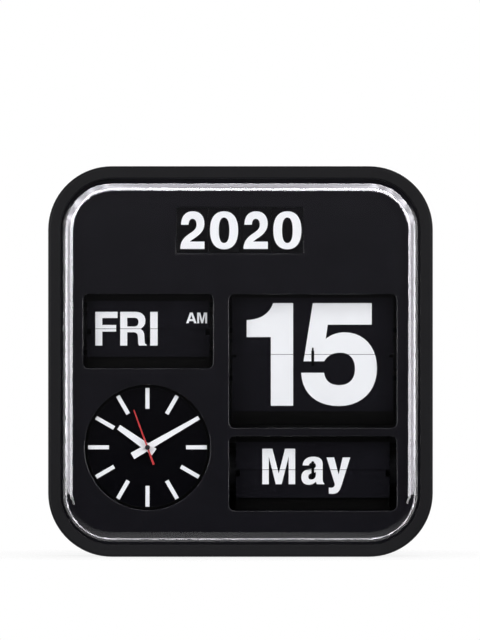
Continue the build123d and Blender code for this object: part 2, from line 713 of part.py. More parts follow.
def unit_motor(unit):
    """A flat stepping motor in a round can, with two ears on the posts of the frame."""
    start = unit.x + unit.side * (unit.plate_out() + GEAR_T + 2 * GEAR_GAP)
    ear_end = start + unit.side * MOTOR_EAR_T
    can_end = start + unit.side * MOTOR_L
    centre = (MOTOR_Y, unit.split + MOTOR_DZ)
    ears = Pos(*centre) * Rot(0, 0, MOTOR_ANGLE) * SlotCenterToCenter(2 * MOTOR_EAR, MOTOR_EAR_W)
    motor = rod(*centre, MOTOR_R, start, can_end) + side_slab(ears, start, ear_end)
    return motor - rod(*centre, SCREW_R + FIT, start, start + unit.side * MOTOR_L / 2)


def motor_pinion(unit):
    near, far = gear_range(unit)
    direction = -90 + MOTOR_ANGLE
    turn = mesh_turn(DRUM_TEETH, 0, PINION_TEETH, direction)
    centre = Pos(MOTOR_Y, unit.split + MOTOR_DZ)
    pinion = side_slab(centre * gear_face(PINION_TEETH, UNIT_MODULE, turn), near, far)
    shaft_end = far + unit.side * (GEAR_GAP + MOTOR_L / 2 - FIT)
    return pinion + rod(MOTOR_Y, unit.split + MOTOR_DZ, SCREW_R, near, shaft_end)


def thumbwheel(unit):
    """Gear that meshes with the drum gear, with a fluted rim beside it for a fingertip."""
    near, far = gear_range(unit)
    centre_z = unit.split + THUMB_DZ
    direction = atan2(THUMB_DZ, THUMB_Y - AXIS_Y) * 180 / pi
    turn = mesh_turn(DRUM_TEETH, 0, THUMB_TEETH, direction)
    wheel = side_slab(Pos(THUMB_Y, centre_z) * gear_face(THUMB_TEETH, UNIT_MODULE, turn), near, far)
    rim = Circle(THUMB_RIM_R)
    for index in range(THUMB_FLUTES):
        rim -= Rot(0, 0, 360 * index / THUMB_FLUTES) * Pos(THUMB_RIM_R, 0) * Circle(FLUTE_R)
    rim_end = far + unit.side * THUMB_RIM_W
    wheel += side_slab(Pos(THUMB_Y, centre_z) * rim, far, rim_end)
    return wheel - rod(THUMB_Y, centre_z, SHAFT_R + FIT, near, rim_end)


def thumbwheel_clips():
    """A retaining ring on the end of each thumbwheel pin."""
    rings = []
    for unit in UNITS:
        far = gear_range(unit)[1] + unit.side * THUMB_RIM_W
        ring = Pos(THUMB_Y, unit.split + THUMB_DZ) * (Circle(2 * SHAFT_R) - Circle(SHAFT_R))
        rings.append(side_slab(ring, far + unit.side * SEAT_GAP, far + unit.side * (SEAT_GAP + GEAR_GAP)))
    return Compound(rings)


# Movement and hands

def dial_axle(dx, dz, radius, back_y, front_y):
    return disc(DIAL_X + dx, DIAL_Z + dz, radius, back_y, front_y)


def dial_gear(dx, dz, face, back_y, front_y):
    return front_slab(Pos(DIAL_X + dx, DIAL_Z + dz) * face, back_y, front_y)


def movement_case():
    box = Pos(DIAL_X, DIAL_Z) * RectangleRounded(MOVE_W, MOVE_W, MOVE_CORNER)
    inside = RectangleRounded(MOVE_W - 2 * MOVE_WALL, MOVE_W - 2 * MOVE_WALL, MOVE_CORNER - MOVE_WALL)
    case = front_slab(box, MOVE_BACK_Y, DIAL_BACK_Y)
    case -= front_slab(Pos(DIAL_X, DIAL_Z) * inside, MOVE_BACK_Y, DIAL_BACK_Y + MOVE_WALL)
    case += dial_axle(0, 0, BUSH_R, DIAL_BACK_Y, DIAL_Y - BUSH_OUT)
    case -= dial_axle(0, 0, HOUR_TUBE_R + FIT, DIAL_BACK_Y + MOVE_WALL, DIAL_Y - BUSH_OUT)
    case -= dial_axle(0, -TRAIN_STEP, ARBOR_R + FIT, DIAL_BACK_Y + MOVE_WALL, DIAL_BACK_Y)
    for x in STATOR_LEGS:
        case += dial_axle(x, ROTOR_DZ, POST_R, STATOR_Y - STATOR_T, DIAL_BACK_Y)
    for x, z in movement_ear_places():
        ear = block((x - LUG_L / 2, x + LUG_L / 2), (EAR_Y, EAR_Y + LUG_T), (z - LUG_HALF, z + LUG_HALF))
        case += ear - disc(x, z, SCREW_R, EAR_Y + LUG_T, EAR_Y)
    return case


def movement_lid():
    lid = Pos(DIAL_X, DIAL_Z) * RectangleRounded(MOVE_W, MOVE_W, MOVE_CORNER)
    lid = front_slab(lid, LID_BACK_Y, MOVE_BACK_Y)
    lid -= dial_axle(0, -TRAIN_STEP, STEM_R + FIT, LID_BACK_Y, MOVE_BACK_Y)
    for dx, dz in ((DRIVE_DX, DRIVE_DZ), (DRIVE_DX, ROTOR_DZ)):
        lid -= dial_axle(dx, dz, PIVOT_R + FIT, LID_BACK_Y, MOVE_BACK_Y)
    return lid


def hand_blade(hand, hub_r, back_y):
    """A flat tapered hand with its round hub."""
    tail_half, tip_half = hand.tail_w / 2, hand.tip_w / 2
    blade = Polygon((-tail_half, -hand.tail), (tail_half, -hand.tail), (tip_half, hand.length),
                    (-tip_half, hand.length), align=None)
    outline = Pos(DIAL_X, DIAL_Z) * Rot(0, 0, -hand.angle) * (blade + Circle(hub_r))
    return front_slab(outline, back_y, back_y - HAND_T)


def hour_wheel():
    turn = mesh_turn(MINUTE_PINION_TEETH, 0, HOUR_TEETH, 90)
    wheel = dial_gear(0, 0, gear_face(HOUR_TEETH, HOUR_MODULE, turn), GEAR_FRONT_Y + WHEEL_T, GEAR_FRONT_Y)
    wheel += dial_axle(0, 0, HOUR_TUBE_R, GEAR_FRONT_Y + WHEEL_T, HOUR_HAND_Y - HAND_T)
    return wheel - dial_axle(0, 0, MINUTE_TUBE_R + FIT, GEAR_FRONT_Y + WHEEL_T, HOUR_HAND_Y - HAND_T)


def hour_hand():
    hand = hand_blade(HOUR_HAND, 1.5 * HOUR_TUBE_R, HOUR_HAND_Y)
    return hand - dial_axle(0, 0, HOUR_TUBE_R, HOUR_HAND_Y, HOUR_HAND_Y - HAND_T)


def cannon_pinion():
    back_y = MINUTE_LAYER_Y + MINUTE_LAYER_T
    pinion = dial_gear(0, 0, gear_face(CANNON_TEETH, MINUTE_MODULE, 0), back_y, MINUTE_LAYER_Y)
    pinion += dial_axle(0, 0, MINUTE_TUBE_R, back_y, MINUTE_HAND_Y - HAND_T)
    return pinion - dial_axle(0, 0, SECOND_ARBOR_R + FIT, back_y, MINUTE_HAND_Y - HAND_T)


def minute_hand():
    hand = hand_blade(MINUTE_HAND, 2 * MINUTE_TUBE_R, MINUTE_HAND_Y)
    return hand - dial_axle(0, 0, MINUTE_TUBE_R, MINUTE_HAND_Y, MINUTE_HAND_Y - HAND_T)


def minute_wheel():
    """The wheel between the cannon pinion and the hour wheel, with the stem of the setting knob."""
    back_y = MINUTE_LAYER_Y + MINUTE_LAYER_T
    turn = mesh_turn(CANNON_TEETH, 0, MINUTE_TEETH, -90)
    wheel = dial_gear(0, -TRAIN_STEP, gear_face(MINUTE_TEETH, MINUTE_MODULE, turn), back_y, MINUTE_LAYER_Y)
    pinion = gear_face(MINUTE_PINION_TEETH, HOUR_MODULE, 0)
    wheel += dial_gear(0, -TRAIN_STEP, pinion, MINUTE_LAYER_Y, GEAR_FRONT_Y)
    wheel += dial_axle(0, -TRAIN_STEP, ARBOR_R, GEAR_FRONT_Y, DIAL_BACK_Y + FIT)
    return wheel + dial_axle(0, -TRAIN_STEP, STEM_R, KNOB_FRONT_Y, back_y)


def time_set_knob():
    rim = Circle(KNOB_R)
    for index in range(KNOB_FLUTES):
        rim -= Rot(0, 0, 360 * index / KNOB_FLUTES) * Pos(KNOB_R, 0) * Circle(FLUTE_R)
    knob = dial_gear(0, -TRAIN_STEP, rim, -KNOB_SINK, KNOB_FRONT_Y)
    return knob - dial_axle(0, -TRAIN_STEP, KNOB_R - 2 * FLUTE_R, -KNOB_SINK, -KNOB_SINK - FLUTE_R)


def second_wheel():
    face = gear_face(SECOND_TEETH, FINE_MODULE, 0)
    wheel = dial_gear(0, 0, face, SECOND_LAYER_Y + FINE_T, SECOND_LAYER_Y)
    return wheel + dial_axle(0, 0, SECOND_ARBOR_R, SECOND_LAYER_Y, SECOND_HAND_Y - HAND_T)


def second_hand():
    hand = hand_blade(SECOND_HAND, CAP_R, SECOND_HAND_Y)
    return hand - dial_axle(0, 0, SECOND_ARBOR_R, SECOND_HAND_Y, SECOND_HAND_Y - HAND_T)


def centre_cap():
    front_y = SECOND_HAND_Y - HAND_T
    cap = dial_axle(0, 0, CAP_R, front_y, front_y - CAP_T)
    return fillet(cap.faces().sort_by(Axis.Y)[0].edges(), CAP_T / 2)


def drive_wheel():
    """Reduction wheel between the rotor and the second wheel."""
    turn = mesh_turn(SECOND_TEETH, 0, DRIVE_PINION_TEETH, DRIVE_ANGLE)
    pinion = gear_face(DRIVE_PINION_TEETH, FINE_MODULE, turn)
    wheel = dial_gear(DRIVE_DX, DRIVE_DZ, pinion, DRIVE_LAYER_Y, SECOND_LAYER_Y - FINE_GAP)
    face = gear_face(DRIVE_TEETH, FINE_MODULE, 0)
    wheel += dial_gear(DRIVE_DX, DRIVE_DZ, face, DRIVE_LAYER_Y + FINE_T, DRIVE_LAYER_Y)
    return wheel + dial_axle(DRIVE_DX, DRIVE_DZ, PIVOT_R, LID_BACK_Y - FINE_GAP, DRIVE_LAYER_Y)


def rotor():
    """Magnet of the stepping motor with its pinion."""
    turn = mesh_turn(DRIVE_TEETH, 0, ROTOR_TEETH, 90)
    face = gear_face(ROTOR_TEETH, FINE_MODULE, turn)
    wheel = dial_gear(DRIVE_DX, ROTOR_DZ, face, DRIVE_LAYER_Y + FINE_T + FINE_GAP, STATOR_Y)
    magnet_front = STATOR_Y - STATOR_T - FINE_GAP
    wheel += dial_axle(DRIVE_DX, ROTOR_DZ, ROTOR_R, STATOR_Y + FINE_GAP, magnet_front)
    return wheel + dial_axle(DRIVE_DX, ROTOR_DZ, PIVOT_R, LID_BACK_Y - FINE_GAP, DRIVE_LAYER_Y)


def stator():
    """Iron yoke round the rotor, with two legs that hold the coil."""
    left, right = STATOR_LEGS
    yoke = Pos((left + right) / 2, ROTOR_DZ) * Rectangle(right - left + LEG_W, 3 * ROTOR_R)
    for x in STATOR_LEGS:
        yoke += Pos(x, (ROTOR_DZ + COIL_DZ) / 2) * Rectangle(LEG_W, COIL_DZ - ROTOR_DZ + LEG_W)
    yoke -= Pos(DRIVE_DX, ROTOR_DZ) * Circle(ROTOR_R + SEAT_GAP)
    return dial_gear(0, 0, yoke, STATOR_Y, STATOR_Y - STATOR_T)


def coil():
    left, right = STATOR_LEGS
    y = STATOR_Y - STATOR_T / 2
    x_a = DIAL_X + left + LEG_W / 2
    x_b = DIAL_X + right - LEG_W / 2
    return rod(y, DIAL_Z + COIL_DZ, COIL_R, x_a, x_b)


# Back cover, battery bay, hanger and board

def board_post_places():
    dx = BOARD_W / 2 - 2 * BOSS_R
    dz = BOARD_H / 2 - 2 * BOSS_R
    return [(YEAR_X + sx * dx, BOARD_Z + sz * dz) for sx in (-1, 1) for sz in (-1, 1)]


def thumb_slot(unit):
    """Opening in the back over a thumbwheel."""
    near, far = gear_range(unit)
    near_x = near - unit.side * SLOT_GAP
    far_x = far + unit.side * (THUMB_RIM_W + SLOT_GAP)
    reach = sqrt(THUMB_RIM_R ** 2 - (COVER_IN_Y - THUMB_Y) ** 2) + 2 * SLOT_GAP
    z = unit.split + THUMB_DZ
    return block((min(near_x, far_x), max(near_x, far_x)), (COVER_IN_Y, 0), (z - reach, z + reach))


def bay_outline(grow):
    return Pos(0, BAY_Z) * Rectangle(BAY_LENGTH + 2 * grow, BAY_HEIGHT + 2 * grow)


def rear_cover():
    cover = front_slab(case_outline(WALL + SEAT_GAP), 0, COVER_IN_Y)
    cover -= front_slab(bay_outline(0), 0, COVER_IN_Y)
    half_w = DOOR_W / 2 + DOOR_GAP
    cover -= block((-half_w, half_w), (-DOOR_T - DOOR_GAP, 0), (DOOR_BOTTOM - DOOR_GAP, DOOR_TOP))
    cover -= block((-half_w, half_w), (DOOR_HINGE_Y - HINGE_R - SEAT_GAP, 0),
                   (DOOR_TOP - HINGE_R - SEAT_GAP, DOOR_TOP + 2 * HINGE_R))
    pin_reach = DOOR_W / 2 + HINGE_PIN_L + DOOR_GAP
    cover -= rod(DOOR_HINGE_Y, DOOR_TOP, HINGE_PIN_R + FIT, -pin_reach, pin_reach)
    cover -= block((-SCOOP_W / 2, SCOOP_W / 2), (-DOOR_T, 0), (DOOR_BOTTOM - SCOOP_H, DOOR_BOTTOM))
    hanger = Pos(0, HANGER_Z) * Rectangle(HANGER_W + SEAT_GAP, HANGER_H + SEAT_GAP)
    cover -= front_slab(hanger, 0, -HANGER_T)
    pocket = Pos(0, HANGER_Z) * Rectangle(HANGER_W - 4 * HANGER_BACKING, HANGER_H - HANGER_BACKING)
    cover -= front_slab(pocket, 0, COVER_IN_Y)
    for x in hanger_rivet_places():
        cover -= disc(x, HANGER_Z, RIVET_R, 0, COVER_IN_Y)
    for unit in UNITS:
        cover -= thumb_slot(unit)
    cover -= dial_axle(0, -TRAIN_STEP, KNOB_R + KNOB_GAP, 0, COVER_IN_Y)
    for x, z in case_boss_places():
        cover -= disc(x, z, COVER_HEAD_R + SEAT_GAP, 0, -COVER_SINK - COVER_HEAD_T)
        cover -= disc(x, z, COVER_SCREW_R, 0, COVER_IN_Y)
    return cover


def battery_bay():
    """Open tray for the cells, welded to the inside of the rear cover."""
    tray = front_slab(bay_outline(BAY_WALL), COVER_IN_Y, BAY_FLOOR_Y - BAY_WALL)
    return tray - front_slab(bay_outline(0), COVER_IN_Y, BAY_FLOOR_Y)


def battery_door():
    half_w = DOOR_W / 2
    door = block((-half_w, half_w), (-DOOR_T, 0), (DOOR_BOTTOM, DOOR_TOP - HINGE_R / 2))
    door += rod(DOOR_HINGE_Y, DOOR_TOP, HINGE_R, -half_w, half_w)
    door += block((-half_w, half_w), (DOOR_HINGE_Y - HINGE_R / 2, DOOR_HINGE_Y + HINGE_R / 2),
                  (DOOR_TOP - HINGE_R, DOOR_TOP))
    return door + rod(DOOR_HINGE_Y, DOOR_TOP, HINGE_PIN_R, -half_w - HINGE_PIN_L, half_w + HINGE_PIN_L)


def battery_cells():
    """Two large round cells in line, with their raised ends to the right."""
    cells = []
    for start in (-CELL_L, 0):
        cell = rod(CELL_Y, BAY_Z, CELL_R, start, start + CELL_L - CELL_NUB_L)
        cells.append(cell + rod(CELL_Y, BAY_Z, CELL_NUB_R, start, start + CELL_L))
    return Compound(cells)


def battery_contacts():
    """A sprung plate at each end of the bay, bearing on the end of the cell."""
    plates = []
    for sx in (-1, 1):
        wall = sx * BAY_LENGTH / 2
        inner = wall - sx * CONTACT_T
        plate = block((min(wall, inner), max(wall, inner)), (CELL_Y - CELL_R / 2, CELL_Y + CELL_R / 2),
                      (BAY_Z - CELL_R / 2, BAY_Z + CELL_R / 2))
        plates.append(plate + rod(CELL_Y, BAY_Z, CELL_NUB_R, inner, sx * CELL_L))
    return Compound(plates)


def hanger_rivet_places():
    reach = HANGER_W / 2 - HANGER_BACKING
    return [-reach, reach]


def hanger_plate():
    """Steel plate with a keyhole for the head of a wall screw."""
    plate = front_slab(Pos(0, HANGER_Z) * Rectangle(HANGER_W, HANGER_H), 0, -HANGER_T)
    plate -= disc(0, KEYHOLE_Z, KEYHOLE_R, 0, -HANGER_T)
    slot_top = KEYHOLE_Z + KEYHOLE_RISE
    slot = Pos(0, (KEYHOLE_Z + slot_top) / 2) * Rectangle(KEYHOLE_SLOT, slot_top - KEYHOLE_Z)
    plate -= front_slab(slot, 0, -HANGER_T)
    plate -= disc(0, slot_top, KEYHOLE_SLOT / 2, 0, -HANGER_T)
    for x in hanger_rivet_places():
        plate -= disc(x, HANGER_Z, RIVET_R, 0, -HANGER_T)
    return plate


def control_board():
    outline = Pos(YEAR_X, BOARD_Z) * Rectangle(BOARD_W, BOARD_H)
    board = front_slab(outline, BOARD_Y + BOARD_T, BOARD_Y)
    for x, z in board_post_places():
        board -= disc(x, z, SCREW_R, BOARD_Y + BOARD_T, BOARD_Y)
    return board


def board_parts():
    """Controller and driver chips, a plug strip and two capacitors on the back of the board."""
    face = BOARD_Y + BOARD_T
    chip_step = CHIP_W + PART_GAP
    plug_z = BOARD_Z - BOARD_H / 2 + PART_GAP + PLUG_H / 2
    capacitor_x = YEAR_X + CHIP_W / 2 + PART_GAP + CAPACITOR_R
    parts = []
    for x in (YEAR_X - chip_step, YEAR_X):
        parts.append(front_slab(Pos(x, BOARD_Z) * Rectangle(CHIP_W, CHIP_W), face + CHIP_T, face))
    parts.append(front_slab(Pos(YEAR_X, plug_z) * Rectangle(PLUG_W, PLUG_H), face + PLUG_H, face))
    for index in range(2):
        x = capacitor_x + index * (2 * CAPACITOR_R + PART_GAP)
        parts.append(disc(x, BOARD_Z, CAPACITOR_R, face + CAPACITOR_L, face))
    return Compound(parts)


# Screws

def rear_fasteners():
    """Six cross-head screws of the rear cover and two rivets of the hanger plate."""
    fasteners = []
    for x in hanger_rivet_places():
        head = disc(x, HANGER_Z, RIVET_HEAD_R, COVER_IN_Y, COVER_IN_Y - RIVET_R)
        fasteners.append(head + disc(x, HANGER_Z, RIVET_R, 0, COVER_IN_Y))
    seat_y = -COVER_SINK - COVER_HEAD_T
    for x, z in case_boss_places():
        cross = Rectangle(COVER_HEAD_R, CROSS_W) + Rectangle(CROSS_W, COVER_HEAD_R)
        screw = disc(x, z, COVER_HEAD_R, -COVER_SINK, seat_y)
        screw -= front_slab(Pos(x, z) * cross, -COVER_SINK, -COVER_SINK - CROSS_DEPTH)
        fasteners.append(screw + disc(x, z, COVER_SCREW_R, seat_y, seat_y - COVER_SCREW_L))
    return Compound(fasteners)


def inner_screws():
    """One size of screw holds the panel, the units, the dial, the movement and the board."""
    seats = [(x, z, PANEL_BACK_Y + LEDGE_T) for x, z in panel_screw_places()]
    for unit in UNITS:
        seats += [(x, z, COLLAR_BACK_Y + LUG_T) for x, z in lug_places(unit)]
    seats += [(x, z, DIAL_BACK_Y) for x, z in dial_boss_places()]
    seats += [(x, z, EAR_Y + LUG_T) for x, z in movement_ear_places()]
    seats += [(x, z, BOARD_Y + BOARD_T) for x, z in board_post_places()]
    return Compound([small_screw(*seat) for seat in seats])


def all_parts():
    """Every piece by the name of its node."""
    parts = {
        "case_body": case_body(),
        "front_bezel": front_bezel(),
        "lens_cover": lens_cover(),
        "face_panel": face_panel(),
        "dial_plate": dial_plate(),
        "hour_markers": hour_markers(),
        "movement_case": movement_case(),
        "movement_lid": movement_lid(),
        "hour_wheel": hour_wheel(),
        "hour_hand": hour_hand(),
        "cannon_pinion": cannon_pinion(),
        "minute_hand": minute_hand(),
        "minute_wheel": minute_wheel(),
        "time_set_knob": time_set_knob(),
        "second_wheel": second_wheel(),
        "second_hand": second_hand(),
        "centre_cap": centre_cap(),
        "drive_wheel": drive_wheel(),
        "rotor": rotor(),
        "stator": stator(),
        "coil": coil(),
        "rear_cover": rear_cover(),
        "battery_bay": battery_bay(),
        "battery_door": battery_door(),
        "battery_cells": battery_cells(),
        "battery_contacts": battery_contacts(),
        "hanger_plate": hanger_plate(),
        "control_board": control_board(),
        "board_parts": board_parts(),
        "thumbwheel_clips": thumbwheel_clips(),
        "rear_fasteners": rear_fasteners(),
        "inner_screws": inner_screws(),
    }
    for index in range(TILE_COUNT):
        parts[f"year_tile_{index + 1}"] = year_tile(index)
    for unit in UNITS:
        parts[f"{unit.name}_frame"] = unit_frame(unit)
        parts[f"{unit.name}_drum"] = unit_drum(unit)
        parts[f"{unit.name}_arbor"] = unit_arbor(unit)
        parts[f"{unit.name}_leaf_pack"] = leaf_pack(unit)
        parts[f"{unit.name}_flip_leaf"] = flip_leaf(unit)
        parts[f"{unit.name}_motor"] = unit_motor(unit)
        parts[f"{unit.name}_motor_pinion"] = motor_pinion(unit)
        parts[f"{unit.name}_thumbwheel"] = thumbwheel(unit)
    return parts


os.makedirs("parts", exist_ok=True)
for node, shape in all_parts().items():
    export_step(shape, f"parts/{node}.step")
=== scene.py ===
import json
from math import cos, pi, radians, sin
from typing import NamedTuple

import bmesh
import bpy
from mathutils import Matrix, Vector


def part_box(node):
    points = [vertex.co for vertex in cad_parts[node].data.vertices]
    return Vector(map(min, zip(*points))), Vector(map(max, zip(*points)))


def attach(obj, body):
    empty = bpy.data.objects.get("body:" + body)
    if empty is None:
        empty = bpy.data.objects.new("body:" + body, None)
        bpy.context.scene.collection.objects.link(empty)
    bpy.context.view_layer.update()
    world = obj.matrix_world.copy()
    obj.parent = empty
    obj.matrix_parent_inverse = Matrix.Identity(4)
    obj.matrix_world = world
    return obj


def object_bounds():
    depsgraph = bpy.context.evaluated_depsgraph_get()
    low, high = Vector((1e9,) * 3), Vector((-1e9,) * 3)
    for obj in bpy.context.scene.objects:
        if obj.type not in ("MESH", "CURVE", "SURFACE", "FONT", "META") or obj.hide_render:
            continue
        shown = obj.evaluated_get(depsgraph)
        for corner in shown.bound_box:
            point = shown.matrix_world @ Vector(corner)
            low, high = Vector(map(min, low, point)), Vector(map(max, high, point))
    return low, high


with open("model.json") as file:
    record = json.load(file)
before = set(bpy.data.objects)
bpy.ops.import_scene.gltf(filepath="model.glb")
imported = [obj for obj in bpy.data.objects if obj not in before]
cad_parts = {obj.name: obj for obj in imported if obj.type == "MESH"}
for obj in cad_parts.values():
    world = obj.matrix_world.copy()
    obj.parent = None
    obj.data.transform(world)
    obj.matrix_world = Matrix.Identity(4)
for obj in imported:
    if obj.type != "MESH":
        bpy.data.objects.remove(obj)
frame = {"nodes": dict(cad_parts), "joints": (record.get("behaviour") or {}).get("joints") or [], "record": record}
CAD_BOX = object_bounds()
NODES = frame["nodes"]
JOINTS = {joint["name"]: joint for joint in frame["joints"]}
MM = 0.001


class Word(NamedTuple):
    """Letters with their left edges, base line and cap height, in mm from the middle of the hinge line."""
    letters: str
    lefts: tuple
    base: float
    cap: float


# Words on the leaves that show now and on those that fall next
WEEKDAY = Word("FRI", lefts=(-44.2, -23.4, 1.6), base=-14.1, cap=28.1)
NOW = {
    "weekday": [WEEKDAY, Word("AM", lefts=(31.6, 40.8), base=4.5, cap=8.9)],
    "date": [Word("15", lefts=(-55.1, -9.7), base=-42.9, cap=85.6)],
    "month": [Word("May", lefts=(-42.1, -9.5, 11.5), base=-12.2, cap=29.6)],
}
NEXT = {
    "weekday": [WEEKDAY, Word("PM", lefts=(32.6, 40.8), base=4.5, cap=8.9)],
    "date": [Word("16", lefts=(-55.1, -9.2), base=-42.9, cap=85.6)],
    "month": [Word("Jun", lefts=(-38.0, -17.0, 6.5), base=-12.2, cap=29.6)],
}
YEAR = "2020"
YEAR_CAP = 31.0
PRINT_T = 0.02

# Letter outlines: points after each command, steps of a curve, and the closing gap in cap heights
POINTS_AFTER = {"M": 1, "L": 1, "C": 3, "Z": 0}
CURVE_STEPS = 10
SAME_POINT = 1e-6

# Where the split cuts the prints, in mm above the hinge line of their leaf
UPPER_CUT = 0.1
LOWER_CUT = -0.3
BACK_CUT = 0.5
BEHIND_CUT = 0.6

# Leaves as in the solids: how many each display has, and their sizes in mm
LEAF_COUNT = {"weekday": 14, "date": 31, "month": 12}
LEAF_T = 0.15
PIN_CIRCLE_R = 12.0
NOTCH_W = 2.4
NOTCH_H = 7.0

# Lean of the front and of the last standing leaf, and how far round the drum that one is, in degrees
LEAF_LEAN = 0.6
PACK_LEAN = 15.0
LAST_STANDING = 170.0

# Finish of the leaves
LEAF_COLOUR = (0.0058, 0.0056, 0.0078)
LEAF_ROUGH = 0.15
LEAF_SHINE = 0.08
LEAF_GRAIN = 2600
LEAF_RELIEF = 0.02

# Depths in leaf thicknesses between which a pack turns rougher behind its front leaf, with painted shade that
# darkens the leaves waiting there
PAINTED_SHADE_FROM = 1.5
PAINTED_SHADE_TO = 4.0

# Distances in mm past the markers between which the dial turns rougher, with a ring of painted shade where the
# plate meets the hole in the panel
DIAL_SHADE_RING_FROM = 0.3
DIAL_SHADE_RING_TO = 0.9

# Shared by the finishes: roughness where dull, unevenness of gloss, depth of grain in metres, spans of ramps
DULL_ROUGH = 0.9
GLOSS_SPREAD = 0.15
GRAIN_DEPTH = 0.00005
MIDDLE = (0.3, 0.7)
FULL = (0.0, 1.0)

# Nodes of the back, moulded in a lighter and coarser plastic than the rest of their slot
REAR_PLASTIC = ("rear_cover", "battery_door", "battery_bay")

# Edge rounding in mm where a moulded or pressed edge catches the light
EDGE_ROUND = {
    "face_panel": 0.7,
    "case_body": 0.6,
    "rear_cover": 0.4,
    "battery_door": 0.4,
    "hanger_plate": 0.25,
    "hour_hand": 0.12,
    "minute_hand": 0.12,
    "second_hand": 0.12,
    "time_set_knob": 0.25,
}
ROUND_STEPS = 3

# Angles in degrees from which an edge is rounded, and from which it is shaded sharp
ROUND_ANGLE = 40
SMOOTH_ANGLE = 32

# Distances in metres at which points of a solid or a print count as one, and as lying on a cut
WELD_GAP = 1e-6
PRINT_GAP = 1e-7
CUT_GAP = 1e-8

# Camera, which frames the part as the photo does, with its places in metres
PHOTO_MM_PER_PIXEL = 0.831
PHOTO_ROWS = 640
SENSOR_H_MM = 36.0
CAMERA_DISTANCE = 9.0
CAMERA_RISE = 0.0345
CAMERA_SIDE = -0.0004

# Floor: its reach in metres, its share of white for the camera, and the span of its fade from the rim in
FLOOR_REACH = 0.27
FLOOR_GLOW = 0.85
FLOOR_FADE = (0.02, 0.5)

# Room: its light below and above the camera, its tint, and the spans of direction over which it changes
ROOM_LOW = 0.0
ROOM_HIGH = 0.13
ROOM_TINT = (0.95, 0.93, 1.0)
HORIZON_SOFTNESS = 0.016
WHITE_BEHIND = (0.0, 0.2)

# Half rings of strip lamps: how many, over how many degrees, and how far from the part in metres
EDGE_STRIPS = 9
EDGE_SPAN = 162
EDGE_RING_R = 1.6

